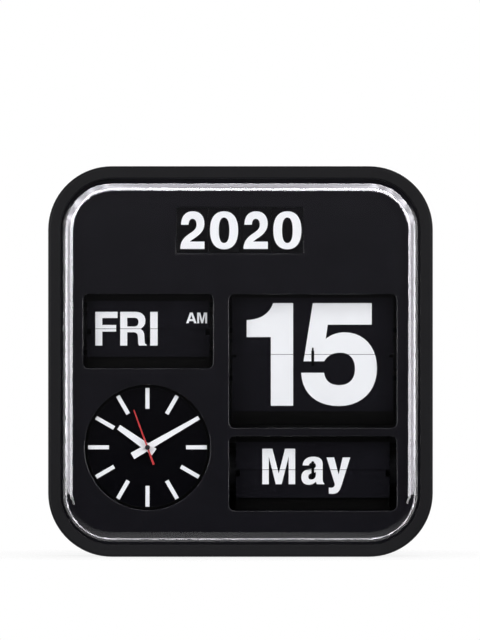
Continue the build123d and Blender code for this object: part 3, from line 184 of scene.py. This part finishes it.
# Letter and digit outlines, drawn with a cap height of 1 from the lower left corner
GLYPHS = {
    "0": "M .378 1.01 C .62 1.01 .756 .83 .756 .5 C .756 .17 .62 -.01 .378 -.01 C .136 -.01 0 .17 0 .5"
         " C 0 .83 .136 1.01 .378 1.01 Z"
         " M .378 .845 C .29 .845 .235 .74 .235 .5 C .235 .26 .29 .157 .378 .157"
         " C .466 .157 .522 .26 .522 .5 C .522 .74 .466 .845 .378 .845 Z",
    "1": "M .452 0 L .452 1 L .258 1 C .22 .89 .13 .84 0 .834 L 0 .669 L .235 .669 L .235 0 Z",
    "2": "M 0 0 L 0 .04 C .01 .2 .09 .305 .255 .415 C .37 .49 .435 .545 .435 .65"
         " C .435 .745 .395 .81 .33 .81 C .26 .81 .225 .75 .22 .65 L .02 .65 C .025 .88 .14 1.01 .335 1.01"
         " C .53 1.01 .645 .88 .645 .68 C .645 .52 .56 .41 .4 .305"
         " C .325 .255 .28 .225 .255 .196 L .649 .196 L .649 0 Z",
    "5": "M .114 1 L .688 1 L .688 .79 L .26 .79 L .239 .651 C .29 .69 .35 .715 .421 .715"
         " C .61 .715 .739 .575 .739 .365 C .739 .145 .59 -.003 .369 -.003 C .16 -.003 .01 .11 0 .321"
         " L .224 .321 C .235 .235 .29 .2 .372 .2 C .47 .2 .525 .26 .525 .36"
         " C .525 .455 .475 .517 .385 .517 C .31 .517 .255 .49 .224 .433 L .024 .433 Z",
    "6": "M .68 .74 L .475 .74 C .465 .8 .43 .83 .375 .83 C .28 .83 .225 .74 .215 .575"
         " C .265 .63 .325 .66 .405 .66 C .585 .66 .715 .53 .715 .335 C .715 .12 .575 -.02 .365 -.02"
         " C .13 -.02 0 .15 0 .47 C 0 .81 .14 1.01 .38 1.01 C .55 1.01 .66 .91 .68 .74 Z"
         " M .36 .5 C .275 .5 .225 .435 .225 .325 C .225 .215 .275 .15 .36 .15"
         " C .445 .15 .495 .215 .495 .325 C .495 .435 .445 .5 .36 .5 Z",
    "A": "M 0 0 L .36 1 L .61 1 L .97 0 L .745 0 L .675 .21 L .295 .21 L .225 0 Z"
         " M .355 .385 L .615 .385 L .485 .77 Z",
    "F": "M 0 0 L 0 1 L .66 1 L .66 .817 L .207 .817 L .207 .61 L .618 .61 L .618 .414 L .207 .414"
         " L .207 0 Z",
    "I": "M 0 0 L 0 1 L .22 1 L .22 0 Z",
    "J": "M .335 1 L .545 1 L .545 .3 C .545 .09 .45 -.02 .265 -.02 C .09 -.02 0 .08 0 .26 L 0 .36"
         " L .205 .36 L .205 .27 C .205 .195 .225 .16 .27 .16 C .315 .16 .335 .195 .335 .27 Z",
    "M": "M 0 0 L 0 1 L .285 1 L .463 .3 L .641 1 L .926 1 L .926 0 L .743 0 L .743 .78 L .545 0 L .381 0"
         " L .183 .78 L .183 0 Z",
    "P": "M 0 0 L 0 1 L .43 1 C .63 1 .74 .89 .74 .69 C .74 .49 .63 .37 .43 .37 L .207 .37 L .207 0 Z"
         " M .207 .545 L .207 .825 L .39 .825 C .49 .825 .535 .78 .535 .685 C .535 .59 .49 .545 .39 .545 Z",
    "R": "M 0 0 L 0 1 L .44 1 C .64 1 .745 .9 .745 .74 C .745 .62 .69 .54 .585 .495"
         " C .67 .46 .71 .4 .715 .29 L .725 .13 C .727 .07 .745 .045 .79 .02 L .79 0 L .56 0"
         " C .54 .03 .535 .07 .532 .12 L .525 .25 C .52 .355 .48 .395 .385 .395 L .207 .395 L .207 0 Z"
         " M .207 .565 L .207 .825 L .41 .825 C .5 .825 .54 .785 .54 .7 C .54 .605 .495 .565 .41 .565 Z",
    "a": "M .035 .53 C .05 .7 .165 .775 .335 .775 C .52 .775 .6 .7 .6 .565 L .6 .16"
         " C .6 .09 .61 .045 .646 .022 L .646 0 L .44 0 C .425 .02 .418 .045 .415 .075"
         " C .36 .015 .285 -.015 .205 -.015 C .08 -.015 0 .06 0 .195 C 0 .33 .07 .4 .22 .425 L .33 .445"
         " C .385 .455 .41 .475 .41 .52 C .41 .575 .375 .61 .315 .61 C .25 .61 .215 .58 .21 .53 Z"
         " M .41 .345 C .385 .33 .35 .32 .3 .31 C .225 .295 .195 .265 .195 .21 C .195 .16 .225 .13 .275 .13"
         " C .355 .13 .41 .185 .41 .27 Z",
    "n": "M 0 0 L 0 .755 L .195 .755 L .195 .66 C .245 .735 .31 .77 .395 .77 C .545 .77 .63 .68 .63 .52"
         " L .63 0 L .425 0 L .425 .445 C .425 .555 .395 .6 .325 .6"
         " C .245 .6 .205 .545 .205 .445 L .205 0 Z",
    "u": "M 0 .755 L .205 .755 L .205 .31 C .205 .2 .235 .155 .305 .155 C .385 .155 .425 .21 .425 .31"
         " L .425 .755 L .63 .755 L .63 0 L .435 0 L .435 .095 C .385 .02 .32 -.015 .235 -.015"
         " C .085 -.015 0 .075 0 .235 Z",
    "y": "M 0 .755 L .215 .755 L .34 .27 L .455 .755 L .668 .755 L .42 -.04 C .37 -.2 .31 -.27 .17 -.27"
         " C .13 -.27 .095 -.267 .065 -.262 L .065 -.095 C .085 -.098 .105 -.1 .125 -.1"
         " C .19 -.1 .225 -.07 .235 -.005 Z",
}


# Every material by its name
FINISH = {}


# Helpers for node trees

def new_material(name):
    """The tree and the principled shader of a new material, which FINISH keeps under its name."""
    FINISH[name] = bpy.data.materials.new(name)
    FINISH[name].use_nodes = True
    tree = FINISH[name].node_tree
    tree.nodes.clear()
    output = tree.nodes.new("ShaderNodeOutputMaterial")
    shader = tree.nodes.new("ShaderNodeBsdfPrincipled")
    tree.links.new(shader.outputs["BSDF"], output.inputs["Surface"])
    return tree, shader


def object_place(tree):
    """Coordinates on the piece, which don't move with the camera."""
    return tree.nodes.new("ShaderNodeTexCoord").outputs["Object"]


def scaled(tree, place, scale):
    """Coordinates times a scale along each axis."""
    node = tree.nodes.new("ShaderNodeMapping")
    node.inputs["Scale"].default_value = scale
    tree.links.new(place, node.inputs["Vector"])
    return node.outputs["Vector"]


def noise(tree, scale, detail, stretch=(1, 1, 1)):
    """Noise over the piece, stretched where a finish has a direction."""
    node = tree.nodes.new("ShaderNodeTexNoise")
    node.inputs["Scale"].default_value = scale
    node.inputs["Detail"].default_value = detail
    tree.links.new(scaled(tree, object_place(tree), stretch), node.inputs["Vector"])
    return node.outputs["Fac"]


def grey(value):
    """A grey with full alpha."""
    return (value, value, value, 1)


def tint(colour, factor=1.0):
    """A colour made lighter or darker, with full alpha."""
    return tuple(min(1, channel * factor) for channel in colour) + (1,)


def ramp(tree, value, low, high, span=MIDDLE):
    """A colour or grey that goes from low to high as a value crosses a span."""
    node = tree.nodes.new("ShaderNodeValToRGB")
    for stop, position, colour in zip(node.color_ramp.elements, span, (low, high)):
        stop.position = position
        stop.color = colour
    tree.links.new(value, node.inputs["Fac"])
    return node.outputs["Color"]


def map_range(tree, value, start, end, low=0.0, high=1.0):
    """A number that goes from low to high, and stays there, as a value goes from start to end."""
    node = tree.nodes.new("ShaderNodeMapRange")
    for socket, number in zip(("From Min", "From Max", "To Min", "To Max"), (start, end, low, high)):
        node.inputs[socket].default_value = number
    tree.links.new(value, node.inputs["Value"])
    return node.outputs["Result"]


def math_node(tree, operation, first, second):
    """Two values added, multiplied or compared, held between 0 and 1."""
    node = tree.nodes.new("ShaderNodeMath")
    node.operation = operation
    node.use_clamp = True
    tree.links.new(first, node.inputs[0])
    tree.links.new(second, node.inputs[1])
    return node.outputs["Value"]


def mix_shader(tree, share, first, second):
    """Two shaders mixed, with the second one's share."""
    node = tree.nodes.new("ShaderNodeMixShader")
    tree.links.new(share, node.inputs["Fac"])
    tree.links.new(first, node.inputs[1])
    tree.links.new(second, node.inputs[2])
    return node.outputs["Shader"]


def bump(tree, shader, height, strength):
    """Fine relief on a shader, from a texture's heights."""
    node = tree.nodes.new("ShaderNodeBump")
    node.inputs["Strength"].default_value = strength
    node.inputs["Distance"].default_value = GRAIN_DEPTH
    tree.links.new(height, node.inputs["Height"])
    tree.links.new(node.outputs["Normal"], shader.inputs["Normal"])


# Materials

def surface(name, colour, rough, grain, relief, shine=0.5, spread=0.12, metallic=0.0, stretch=(1, 1, 1)):
    """A finish with a mottled colour, uneven gloss and a fine grain."""
    tree, shader = new_material(name)
    broad = noise(tree, scale=40, detail=3)
    fine = noise(tree, grain, detail=4, stretch=stretch)
    colours = ramp(tree, broad, tint(colour, 1 - spread), tint(colour, 1 + spread))
    gloss = ramp(tree, fine, grey(rough * (1 - GLOSS_SPREAD)), grey(rough * (1 + GLOSS_SPREAD)))
    tree.links.new(colours, shader.inputs["Base Color"])
    tree.links.new(gloss, shader.inputs["Roughness"])
    shader.inputs["Metallic"].default_value = metallic
    shader.inputs["Specular IOR Level"].default_value = shine
    bump(tree, shader, fine, relief)


def metal(name, colour, rough, grain, relief, stretch=(1, 1, 1)):
    """Bare metal, with its grain drawn out along its brushing, turning or winding."""
    surface(name, colour, rough, grain, relief, metallic=1.0, stretch=stretch)


def satin_with_painted_shade(tree, shader, share, colour, rough, shine, painted_shade_grey, spots, grain, relief):
    """Finely spotted satin black that turns rougher as a share goes to 1, with painted shade darkening its colour
    to a grey there.
    """
    mottle = noise(tree, grain, detail=3)
    shade_and_spots = math_node(tree, "MAXIMUM", share, ramp(tree, mottle, grey(0), grey(spots)))
    # Painted shade: the colour goes to a darker grey where the share is high; the spots are the film's own uneven
    # tone
    tree.links.new(ramp(tree, shade_and_spots, tint(colour), grey(painted_shade_grey), FULL), shader.inputs["Base Color"])
    tree.links.new(ramp(tree, shade_and_spots, grey(rough), grey(DULL_ROUGH), FULL), shader.inputs["Roughness"])
    shader.inputs["Specular IOR Level"].default_value = shine
    bump(tree, shader, mottle, relief)


def leaf_film(name, front):
    """Satin film of a pack of leaves; those that wait behind the front one are rougher, and darker by painted
    shade.
    """
    tree, shader = new_material(name)
    depth = tree.nodes.new("ShaderNodeSeparateXYZ")
    tree.links.new(object_place(tree), depth.inputs["Vector"])
    leaf = LEAF_T * MM
    # Painted shade: the leaves behind the front one are darkened by their depth, standing in for the shadow they
    # lie in
    painted_shade_behind = map_range(tree, depth.outputs["Y"], front + PAINTED_SHADE_FROM * leaf, front + PAINTED_SHADE_TO * leaf)
    satin_with_painted_shade(tree, shader, painted_shade_behind, LEAF_COLOUR, LEAF_ROUGH, LEAF_SHINE, painted_shade_grey=0.0006,
                  spots=0.1, grain=LEAF_GRAIN, relief=LEAF_RELIEF)


def dial_lacquer(name):
    """Black lacquer of the dial, rougher in the ring outside the markers and darkest there by painted shade."""
    tree, shader = new_material(name)
    low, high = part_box("hour_markers")
    reach = (high.x - low.x) / 2
    offset = tree.nodes.new("ShaderNodeVectorMath")
    offset.operation = "SUBTRACT"
    offset.inputs[1].default_value = (low + high) / 2
    tree.links.new(object_place(tree), offset.inputs[0])
    radius = tree.nodes.new("ShaderNodeVectorMath")
    radius.operation = "LENGTH"
    tree.links.new(offset.outputs["Vector"], radius.inputs[0])
    # Painted shade: a dark ring outside the markers, standing in for the shadow in the gap round the dial plate
    painted_shade_ring = map_range(tree, radius.outputs["Value"], reach + DIAL_SHADE_RING_FROM * MM, reach + DIAL_SHADE_RING_TO * MM)
    satin_with_painted_shade(tree, shader, painted_shade_ring, (0.0014, 0.0013, 0.0022), rough=0.16, shine=0.06, painted_shade_grey=0.0003,
                  spots=0.15, grain=3000, relief=0.03)


def clear_acrylic(name):
    """Clear sheet, faintly wiped, that lets light through to what lies behind it."""
    tree, shader = new_material(name)
    shader.inputs["Base Color"].default_value = (0.985, 0.985, 0.99, 1)
    shader.inputs["Transmission Weight"].default_value = 1.0
    shader.inputs["IOR"].default_value = 1.49
    wipe = noise(tree, scale=25, detail=5, stretch=(1, 1, 0.15))
    gloss = ramp(tree, wipe, grey(0.006), grey(0.012), span=(0.45, 0.75))
    tree.links.new(gloss, shader.inputs["Roughness"])
    path = tree.nodes.new("ShaderNodeLightPath")
    clear = tree.nodes.new("ShaderNodeBsdfTransparent")
    unseen = math_node(tree, "ADD", path.outputs["Is Shadow Ray"], path.outputs["Is Diffuse Ray"])
    unseen = math_node(tree, "ADD", unseen, path.outputs["Is Glossy Ray"])
    sheet = mix_shader(tree, unseen, shader.outputs["BSDF"], clear.outputs["BSDF"])
    tree.links.new(sheet, tree.nodes["Material Output"].inputs["Surface"])


def make_finishes():
    """One finish for each material slot of the record, for the back and for each pack of leaves."""
    surface("case_black", (0.0035, 0.0034, 0.0045), rough=0.4, grain=2600, relief=0.12, shine=0.12)
    clear_acrylic("lens_clear")
    surface("panel_black", (0.0054, 0.0052, 0.0072), rough=0.14, grain=3000, relief=0.02, shine=0.35)
    dial_lacquer("dial_black")
    surface("print_white", (0.79, 0.80, 0.83), rough=0.42, grain=3000, relief=0.08, spread=0.015)
    surface("movement_black", (0.022, 0.022, 0.024), rough=0.5, grain=2200, relief=0.3)
    surface("gear_nylon", (0.80, 0.78, 0.71), rough=0.4, grain=1500, relief=0.1, spread=0.05)
    surface("hand_white", (0.79, 0.80, 0.83), rough=0.35, grain=2500, relief=0.06, spread=0.02)
    metal("gear_brass", (0.72, 0.52, 0.22), rough=0.28, grain=1800, relief=0.15, stretch=(1, 6, 1))
    surface("knob_plastic", (0.045, 0.045, 0.048), rough=0.48, grain=2200, relief=0.3)
    surface("hand_red", (0.47, 0.015, 0.018), rough=0.35, grain=2500, relief=0.05, spread=0.06)
    surface("cap_black", (0.012, 0.012, 0.013), rough=0.22, grain=2500, relief=0.05)
    metal("magnet_steel", (0.25, 0.25, 0.27), rough=0.35, grain=1500, relief=0.2)
    metal("iron_steel", (0.42, 0.42, 0.44), rough=0.38, grain=900, relief=0.2, stretch=(8, 1, 1))
    metal("coil_copper", (0.62, 0.27, 0.12), rough=0.35, grain=900, relief=0.6, stretch=(14, 1, 1))
    surface("cell_jacket", (0.20, 0.21, 0.23), rough=0.35, grain=1200, relief=0.1, spread=0.06)
    metal("contact_nickel", (0.68, 0.66, 0.60), rough=0.25, grain=1400, relief=0.15)
    metal("hanger_steel", (0.56, 0.56, 0.55), rough=0.34, grain=700, relief=0.25, stretch=(1, 1, 9))
    metal("screw_steel", (0.36, 0.36, 0.37), rough=0.34, grain=1600, relief=0.25)
    surface("board_green", (0.02, 0.12, 0.05), rough=0.35, grain=900, relief=0.15, spread=0.2)
    surface("chip_black", (0.02, 0.02, 0.02), rough=0.5, grain=1800, relief=0.25)
    surface("tile_black", (0.0016, 0.0015, 0.0022), rough=0.3, grain=2800, relief=0.03, shine=0.05)
    surface("frame_plastic", (0.005, 0.005, 0.0055), rough=0.6, grain=2000, relief=0.2, shine=0.05)
    surface("drum_plastic", (0.003, 0.003, 0.0035), rough=0.6, grain=2000, relief=0.2, shine=0.03)
    metal("shaft_steel", (0.52, 0.52, 0.53), rough=0.25, grain=1200, relief=0.2, stretch=(1, 9, 9))
    surface("leaf_black", LEAF_COLOUR, LEAF_ROUGH, LEAF_GRAIN, LEAF_RELIEF, shine=LEAF_SHINE)
    surface("rear_plastic", (0.016, 0.016, 0.017), rough=0.5, grain=1100, relief=0.5, shine=0.3)
    metal("motor_steel", (0.50, 0.50, 0.50), rough=0.3, grain=900, relief=0.2, stretch=(1, 8, 8))
    for unit in LEAF_COUNT:
        pack = f"{unit}_leaf_pack"
        leaf_film(pack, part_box(pack)[0].y)


# Solids

def node_finish(node, slot):
    """The plastic of the back, a node's own finish where it has one, or else the finish of its slot."""
    if node in REAR_PLASTIC:
        return FINISH["rear_plastic"]
    return FINISH.get(node, FINISH[slot])


def dress_node(node, finish):
    """Gives a solid its finish, smooth shading and, where listed, rounded edges."""
    obj = NODES[node]
    obj.data.materials.clear()
    obj.data.materials.append(finish)
    obj.modifiers.clear()
    for polygon in obj.data.polygons:
        polygon.use_smooth = True
    weld = obj.modifiers.new("weld", "WELD")
    weld.merge_threshold = WELD_GAP
    if node in EDGE_ROUND:
        rounding = obj.modifiers.new("round", "BEVEL")
        rounding.width = EDGE_ROUND[node] * MM
        rounding.segments = ROUND_STEPS
        rounding.limit_method = "ANGLE"
        rounding.angle_limit = radians(ROUND_ANGLE)
    split = obj.modifiers.new("split", "EDGE_SPLIT")
    split.split_angle = radians(SMOOTH_ANGLE)
    flat = obj.modifiers.new("flat_faces", "WEIGHTED_NORMAL")
    flat.keep_sharp = True


# Printed words

def cubic(a, b, c, d, t):
    """The point at a share t of the way along a curve with four control points."""
    s = 1 - t
    return a * (s ** 3) + b * (3 * s * s * t) + c * (3 * s * t * t) + d * (t ** 3)


def glyph_loops(letter):
    """The closed loops of a letter as lists of points."""
    words = iter(GLYPHS[letter].split())
    loops = []
    for kind in words:
        points = [Vector((float(next(words)), float(next(words)))) for _ in range(POINTS_AFTER[kind])]
        if kind == "M":
            loops.append(points)
        elif kind == "L":
            loops[-1] += points
        elif kind == "C":
            start = loops[-1][-1]
            loops[-1] += [cubic(start, *points, step / CURVE_STEPS) for step in range(1, CURVE_STEPS + 1)]
    for loop in loops:
        if (loop[0] - loop[-1]).length < SAME_POINT:
            loop.pop()
    return loops


def link(name, data):
    """A new object in the scene."""
    obj = bpy.data.objects.new(name, data)
    bpy.context.scene.collection.objects.link(obj)
    return obj


def evaluated_mesh(obj):
    """A mesh of an object as its modifiers or curve settings make it."""
    bpy.context.view_layer.update()
    return bpy.data.meshes.new_from_object(obj.evaluated_get(bpy.context.evaluated_depsgraph_get()))


def word_mesh(name, words, turned=False):
    """A thin flat print of some words in the XY plane, mirrored top to bottom for the back of a leaf."""
    curve = bpy.data.curves.new(name, "CURVE")
    curve.dimensions = "2D"
    curve.fill_mode = "BOTH"
    curve.extrude = PRINT_T / 2 * MM
    way = -1 if turned else 1
    for word in words:
        for letter, left in zip(word.letters, word.lefts):
            for loop in glyph_loops(letter):
                spline = curve.splines.new("POLY")
                spline.points.add(len(loop) - 1)
                for target, p in zip(spline.points, loop):
                    x = left + p.x * word.cap
                    y = way * (word.base + p.y * word.cap)
                    target.co = (x * MM, y * MM, 0, 1)
                spline.use_cyclic_u = True
    holder = link(name, curve)
    mesh = evaluated_mesh(holder)
    bpy.data.objects.remove(holder)
    return mesh


def keep_side(mesh, height, side):
    """Cuts a flat print at a height in mm, keeps what is above (side 1) or below (side -1), closes it."""
    work = bmesh.new()
    work.from_mesh(mesh)
    bmesh.ops.remove_doubles(work, verts=work.verts, dist=PRINT_GAP)
    everything = work.verts[:] + work.edges[:] + work.faces[:]
    cut = bmesh.ops.bisect_plane(work, geom=everything, dist=CUT_GAP, plane_co=(0, height * MM, 0),
                                 plane_no=(0, -side, 0), clear_outer=True)
    edges = [item for item in cut["geom_cut"] if isinstance(item, bmesh.types.BMEdge)]
    if edges:
        bmesh.ops.holes_fill(work, edges=edges, sides=0)
    bmesh.ops.recalc_face_normals(work, faces=work.faces)
    work.to_mesh(mesh)
    work.free()
    return mesh


def cut_notch(obj):
    """Takes the middle notch of the leaf out of a print."""
    cutter_mesh = bpy.data.meshes.new("notch")
    work = bmesh.new()
    notch_box = Matrix.Diagonal((NOTCH_W * MM, 2 * NOTCH_H * MM, 2 * MM, 1))
    bmesh.ops.create_cube(work, size=1.0, matrix=notch_box)
    work.to_mesh(cutter_mesh)
    work.free()
    cutter = link("notch", cutter_mesh)
    trim = obj.modifiers.new("notch", "BOOLEAN")
    trim.operation = "DIFFERENCE"
    trim.solver = "EXACT"
    trim.object = cutter
    result = evaluated_mesh(obj)
    obj.modifiers.clear()
    obj.data = result
    bpy.data.objects.remove(cutter)


def print_piece(name, mesh, place, body, notched=False):
    """A print set on its carrier by a matrix from the print's plane to the part's frame."""
    obj = link(name, mesh)
    if notched:
        cut_notch(obj)
    obj.data.transform(place)
    obj.data.materials.clear()
    obj.data.materials.append(FINISH["print_white"])
    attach(obj, body)


def leaf_frame(x, y, z, lean, lift):
    """From the print's plane to a leaf that leans back by some degrees, lifted some mm to the front."""
    tilt = Matrix.Rotation(-radians(lean), 4, "X") @ Matrix.Rotation(pi / 2, 4, "X")
    return Matrix.Translation((x, y, z)) @ tilt @ Matrix.Translation((0, 0, lift * MM))


def leaf_prints(unit):
    """The words of a display: the present ones in front, the next ones on the leaves behind."""
    hinge = Vector(JOINTS[f"{unit}_leaf_fall"]["pos_m"])
    pack_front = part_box(f"{unit}_leaf_pack")[0].y
    flip = f"{unit}_flip"
    face = LEAF_T / 2 + PRINT_T / 2

    upper = keep_side(word_mesh(f"{unit}_now_upper", NOW[unit]), UPPER_CUT, 1)
    upper_place = leaf_frame(*hinge, LEAF_LEAN, face)
    print_piece(f"{unit}_print_upper", upper, upper_place, flip, notched=True)

    lower = keep_side(word_mesh(f"{unit}_now_lower", NOW[unit]), LOWER_CUT, -1)
    lower_place = leaf_frame(hinge.x, pack_front, hinge.z, 0, PRINT_T / 2)
    print_piece(f"{unit}_print_lower", lower, lower_place, "root", notched=True)

    back = keep_side(word_mesh(f"{unit}_next_back", NEXT[unit], turned=True), BACK_CUT, 1)
    back_place = leaf_frame(*hinge, LEAF_LEAN, -face)
    print_piece(f"{unit}_print_back", back, back_place, flip, notched=True)

    # The first waiting leaf has its pins one step further round the drum, and leans back more
    step = 360 / LEAF_COUNT[unit]
    rise = PIN_CIRCLE_R * sin(radians(step))
    lean = LEAF_LEAN + (PACK_LEAN - LEAF_LEAN) * step / LAST_STANDING
    base_y = pack_front + LEAF_T / 2 * MM - rise * sin(radians(lean)) * MM
    behind = keep_side(word_mesh(f"{unit}_next_upper", NEXT[unit]), rise + BEHIND_CUT, 1)
    behind_place = leaf_frame(hinge.x, base_y, hinge.z, lean, face)
    print_piece(f"{unit}_print_behind", behind, behind_place, "root")


def year_prints():
    """One figure in the middle of each year tile."""
    for index, figure in enumerate(YEAR):
        low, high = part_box(f"year_tile_{index + 1}")
        middle = (low + high) / 2
        width = max(p.x for loop in glyph_loops(figure) for p in loop) * YEAR_CAP
        word = Word(figure, lefts=(-width / 2,), base=-YEAR_CAP / 2, cap=YEAR_CAP)
        place = leaf_frame(middle.x, low.y, middle.z, 0, PRINT_T / 2)
        print_piece(f"year_print_{index + 1}", word_mesh(f"year_{index + 1}", [word]), place, "root")


# Stage, light and camera

def looking_rays(tree):
    """Two switches: 1 for rays from the camera, and 1 for rays that reflections and clear parts send on."""
    path = tree.nodes.new("ShaderNodeLightPath")
    sent_on = math_node(tree, "ADD", path.outputs["Is Glossy Ray"], path.outputs["Is Transmission Ray"])
    return path.outputs["Is Camera Ray"], sent_on


def floor_finish():
    """White floor with a faint shadow, which fades into the white room at its rim."""
    tree, shader = new_material("floor_white")
    patches = noise(tree, scale=3, detail=2)
    tree.links.new(ramp(tree, patches, grey(0.90), grey(0.92)), shader.inputs["Base Color"])
    shader.inputs["Roughness"].default_value = 0.9
    seen = math_node(tree, "ADD", *looking_rays(tree))
    glow = tree.nodes.new("ShaderNodeEmission")
    share = ramp(tree, seen, grey(0), grey(FLOOR_GLOW), FULL)
    lit = mix_shader(tree, share, shader.outputs["BSDF"], glow.outputs["Emission"])
    round_fade = tree.nodes.new("ShaderNodeTexGradient")
    round_fade.gradient_type = "SPHERICAL"
    reach = scaled(tree, object_place(tree), (1 / FLOOR_REACH,) * 3)
    tree.links.new(reach, round_fade.inputs["Vector"])
    clear = tree.nodes.new("ShaderNodeBsdfTransparent")
    inside = ramp(tree, round_fade.outputs["Fac"], grey(0), grey(1), FLOOR_FADE)
    faded = mix_shader(tree, inside, clear.outputs["BSDF"], lit)
    tree.links.new(faded, tree.nodes["Material Output"].inputs["Surface"])


def white_floor():
    """A square floor under the part."""
    mesh = bpy.data.meshes.new("floor")
    corners = [(FLOOR_REACH * x, FLOOR_REACH * y, 0) for x, y in ((-1, -1), (1, -1), (1, 1), (-1, 1))]
    mesh.from_pydata(corners, [], [(0, 1, 2, 3)])
    floor_finish()
    mesh.materials.append(FINISH["floor_white"])
    obj = link("floor", mesh)
    obj.location.z = CAD_BOX[0][2]


def white_room():
    """White for the camera, also in reflections and through clear parts that look behind the part.

    In front of the part the room is dim, and a little lighter above the camera than below it.
    """
    world = bpy.data.worlds.new("room")
    bpy.context.scene.world = world
    world.use_nodes = True
    tree = world.node_tree
    tree.nodes.clear()
    output = tree.nodes.new("ShaderNodeOutputWorld")
    place = tree.nodes.new("ShaderNodeTexCoord")
    direction = tree.nodes.new("ShaderNodeSeparateXYZ")
    tree.links.new(place.outputs["Generated"], direction.inputs["Vector"])
    from_camera, sent_on = looking_rays(tree)
    backward = ramp(tree, direction.outputs["Y"], grey(0), grey(1), WHITE_BEHIND)
    behind = math_node(tree, "MULTIPLY", sent_on, backward)
    shown = math_node(tree, "MAXIMUM", from_camera, behind)
    dim = tree.nodes.new("ShaderNodeBackground")
    dim.inputs["Color"].default_value = tint(ROOM_TINT)
    level = map_range(tree, direction.outputs["Z"], -HORIZON_SOFTNESS, HORIZON_SOFTNESS,
                      low=ROOM_LOW, high=ROOM_HIGH)
    tree.links.new(level, dim.inputs["Strength"])
    white = tree.nodes.new("ShaderNodeBackground")
    white.inputs["Color"].default_value = grey(1.0)
    surroundings = mix_shader(tree, shown, dim.outputs["Background"], white.outputs["Background"])
    tree.links.new(surroundings, output.inputs["Surface"])


def area_light(name, place, size, watts):
    """A rectangular lamp that shines at the middle of the part."""
    light = bpy.data.lights.new(name, "AREA")
    light.shape = "RECTANGLE"
    light.size, light.size_y = size
    light.energy = watts
    obj = link(name, light)
    obj.location = place
    obj.rotation_euler = (-Vector(place)).to_track_quat("-Z", "Y").to_euler()
    return obj


def edge_strips(name, first, off_axis, size, watts):
    """Strip lamps in a half ring, which light only the clear cover and mirror in its bent edge.

    The ring goes round the camera's axis, from a first angle on, and stands some degrees off that axis.
    """
    cover = bpy.data.collections.new(name)
    cover.objects.link(NODES["lens_cover"])
    slant = radians(off_axis)
    for index in range(EDGE_STRIPS):
        turn = radians(first + EDGE_SPAN * index / (EDGE_STRIPS - 1))
        along = Vector((-sin(turn), 0, cos(turn)))
        away = Vector((cos(turn) * sin(slant), -cos(slant), sin(turn) * sin(slant)))
        strip = area_light(f"{name}_{index}", EDGE_RING_R * away, size, watts)
        strip.rotation_euler = Matrix((along, away.cross(along), away)).transposed().to_euler()
        strip.data.color = ROOM_TINT
        strip.light_linking.receiver_collection = cover
        strip.light_linking.blocker_collection = cover


def studio():
    """White floor and room, soft boxes round the part and strip lamps for the bend of the clear cover."""
    white_floor()
    white_room()
    area_light("left_box", place=(-0.95, -1.7, 0.15), size=(1.0, 0.9), watts=17.5)
    area_light("right_box", place=(0.95, -1.7, 0.15), size=(1.0, 0.9), watts=15.5)
    area_light("top_box", place=(0, -1.7, 0.95), size=(1.8, 0.9), watts=14.5)
    area_light("left_side_box", place=(-1.6, 0, 0.1), size=(1.2, 0.6), watts=7)
    area_light("right_side_box", place=(1.6, 0, 0.1), size=(1.2, 0.6), watts=5)
    area_light("rear_box", place=(0.4, 1.6, 1.1), size=(1.4, 1.2), watts=20)
    edge_strips("arch", first=9, off_axis=66, size=(0.75, 3.8), watts=98)
    edge_strips("sill", first=189, off_axis=90, size=(0.75, 0.5), watts=12)


def camera():
    """Straight in front, a little above the middle, framed as the photo is."""
    data = bpy.data.cameras.new("camera")
    data.sensor_fit = "VERTICAL"
    data.sensor_height = SENSOR_H_MM
    data.lens = SENSOR_H_MM * CAMERA_DISTANCE / (PHOTO_ROWS * PHOTO_MM_PER_PIXEL * MM)
    data.clip_start = 0.05
    obj = link("camera", data)
    obj.location = (CAMERA_SIDE, CAD_BOX[0][1] - CAMERA_DISTANCE, CAMERA_RISE)
    obj.rotation_euler = (pi / 2, 0, 0)
    bpy.context.scene.camera = obj


make_finishes()
for subpart in frame["record"]["subparts"]:
    dress_node(subpart["node"], node_finish(subpart["node"], subpart["material_slot"]))
for display in LEAF_COUNT:
    leaf_prints(display)
year_prints()
studio()
camera()
bpy.context.scene.view_settings.view_transform = "Standard"
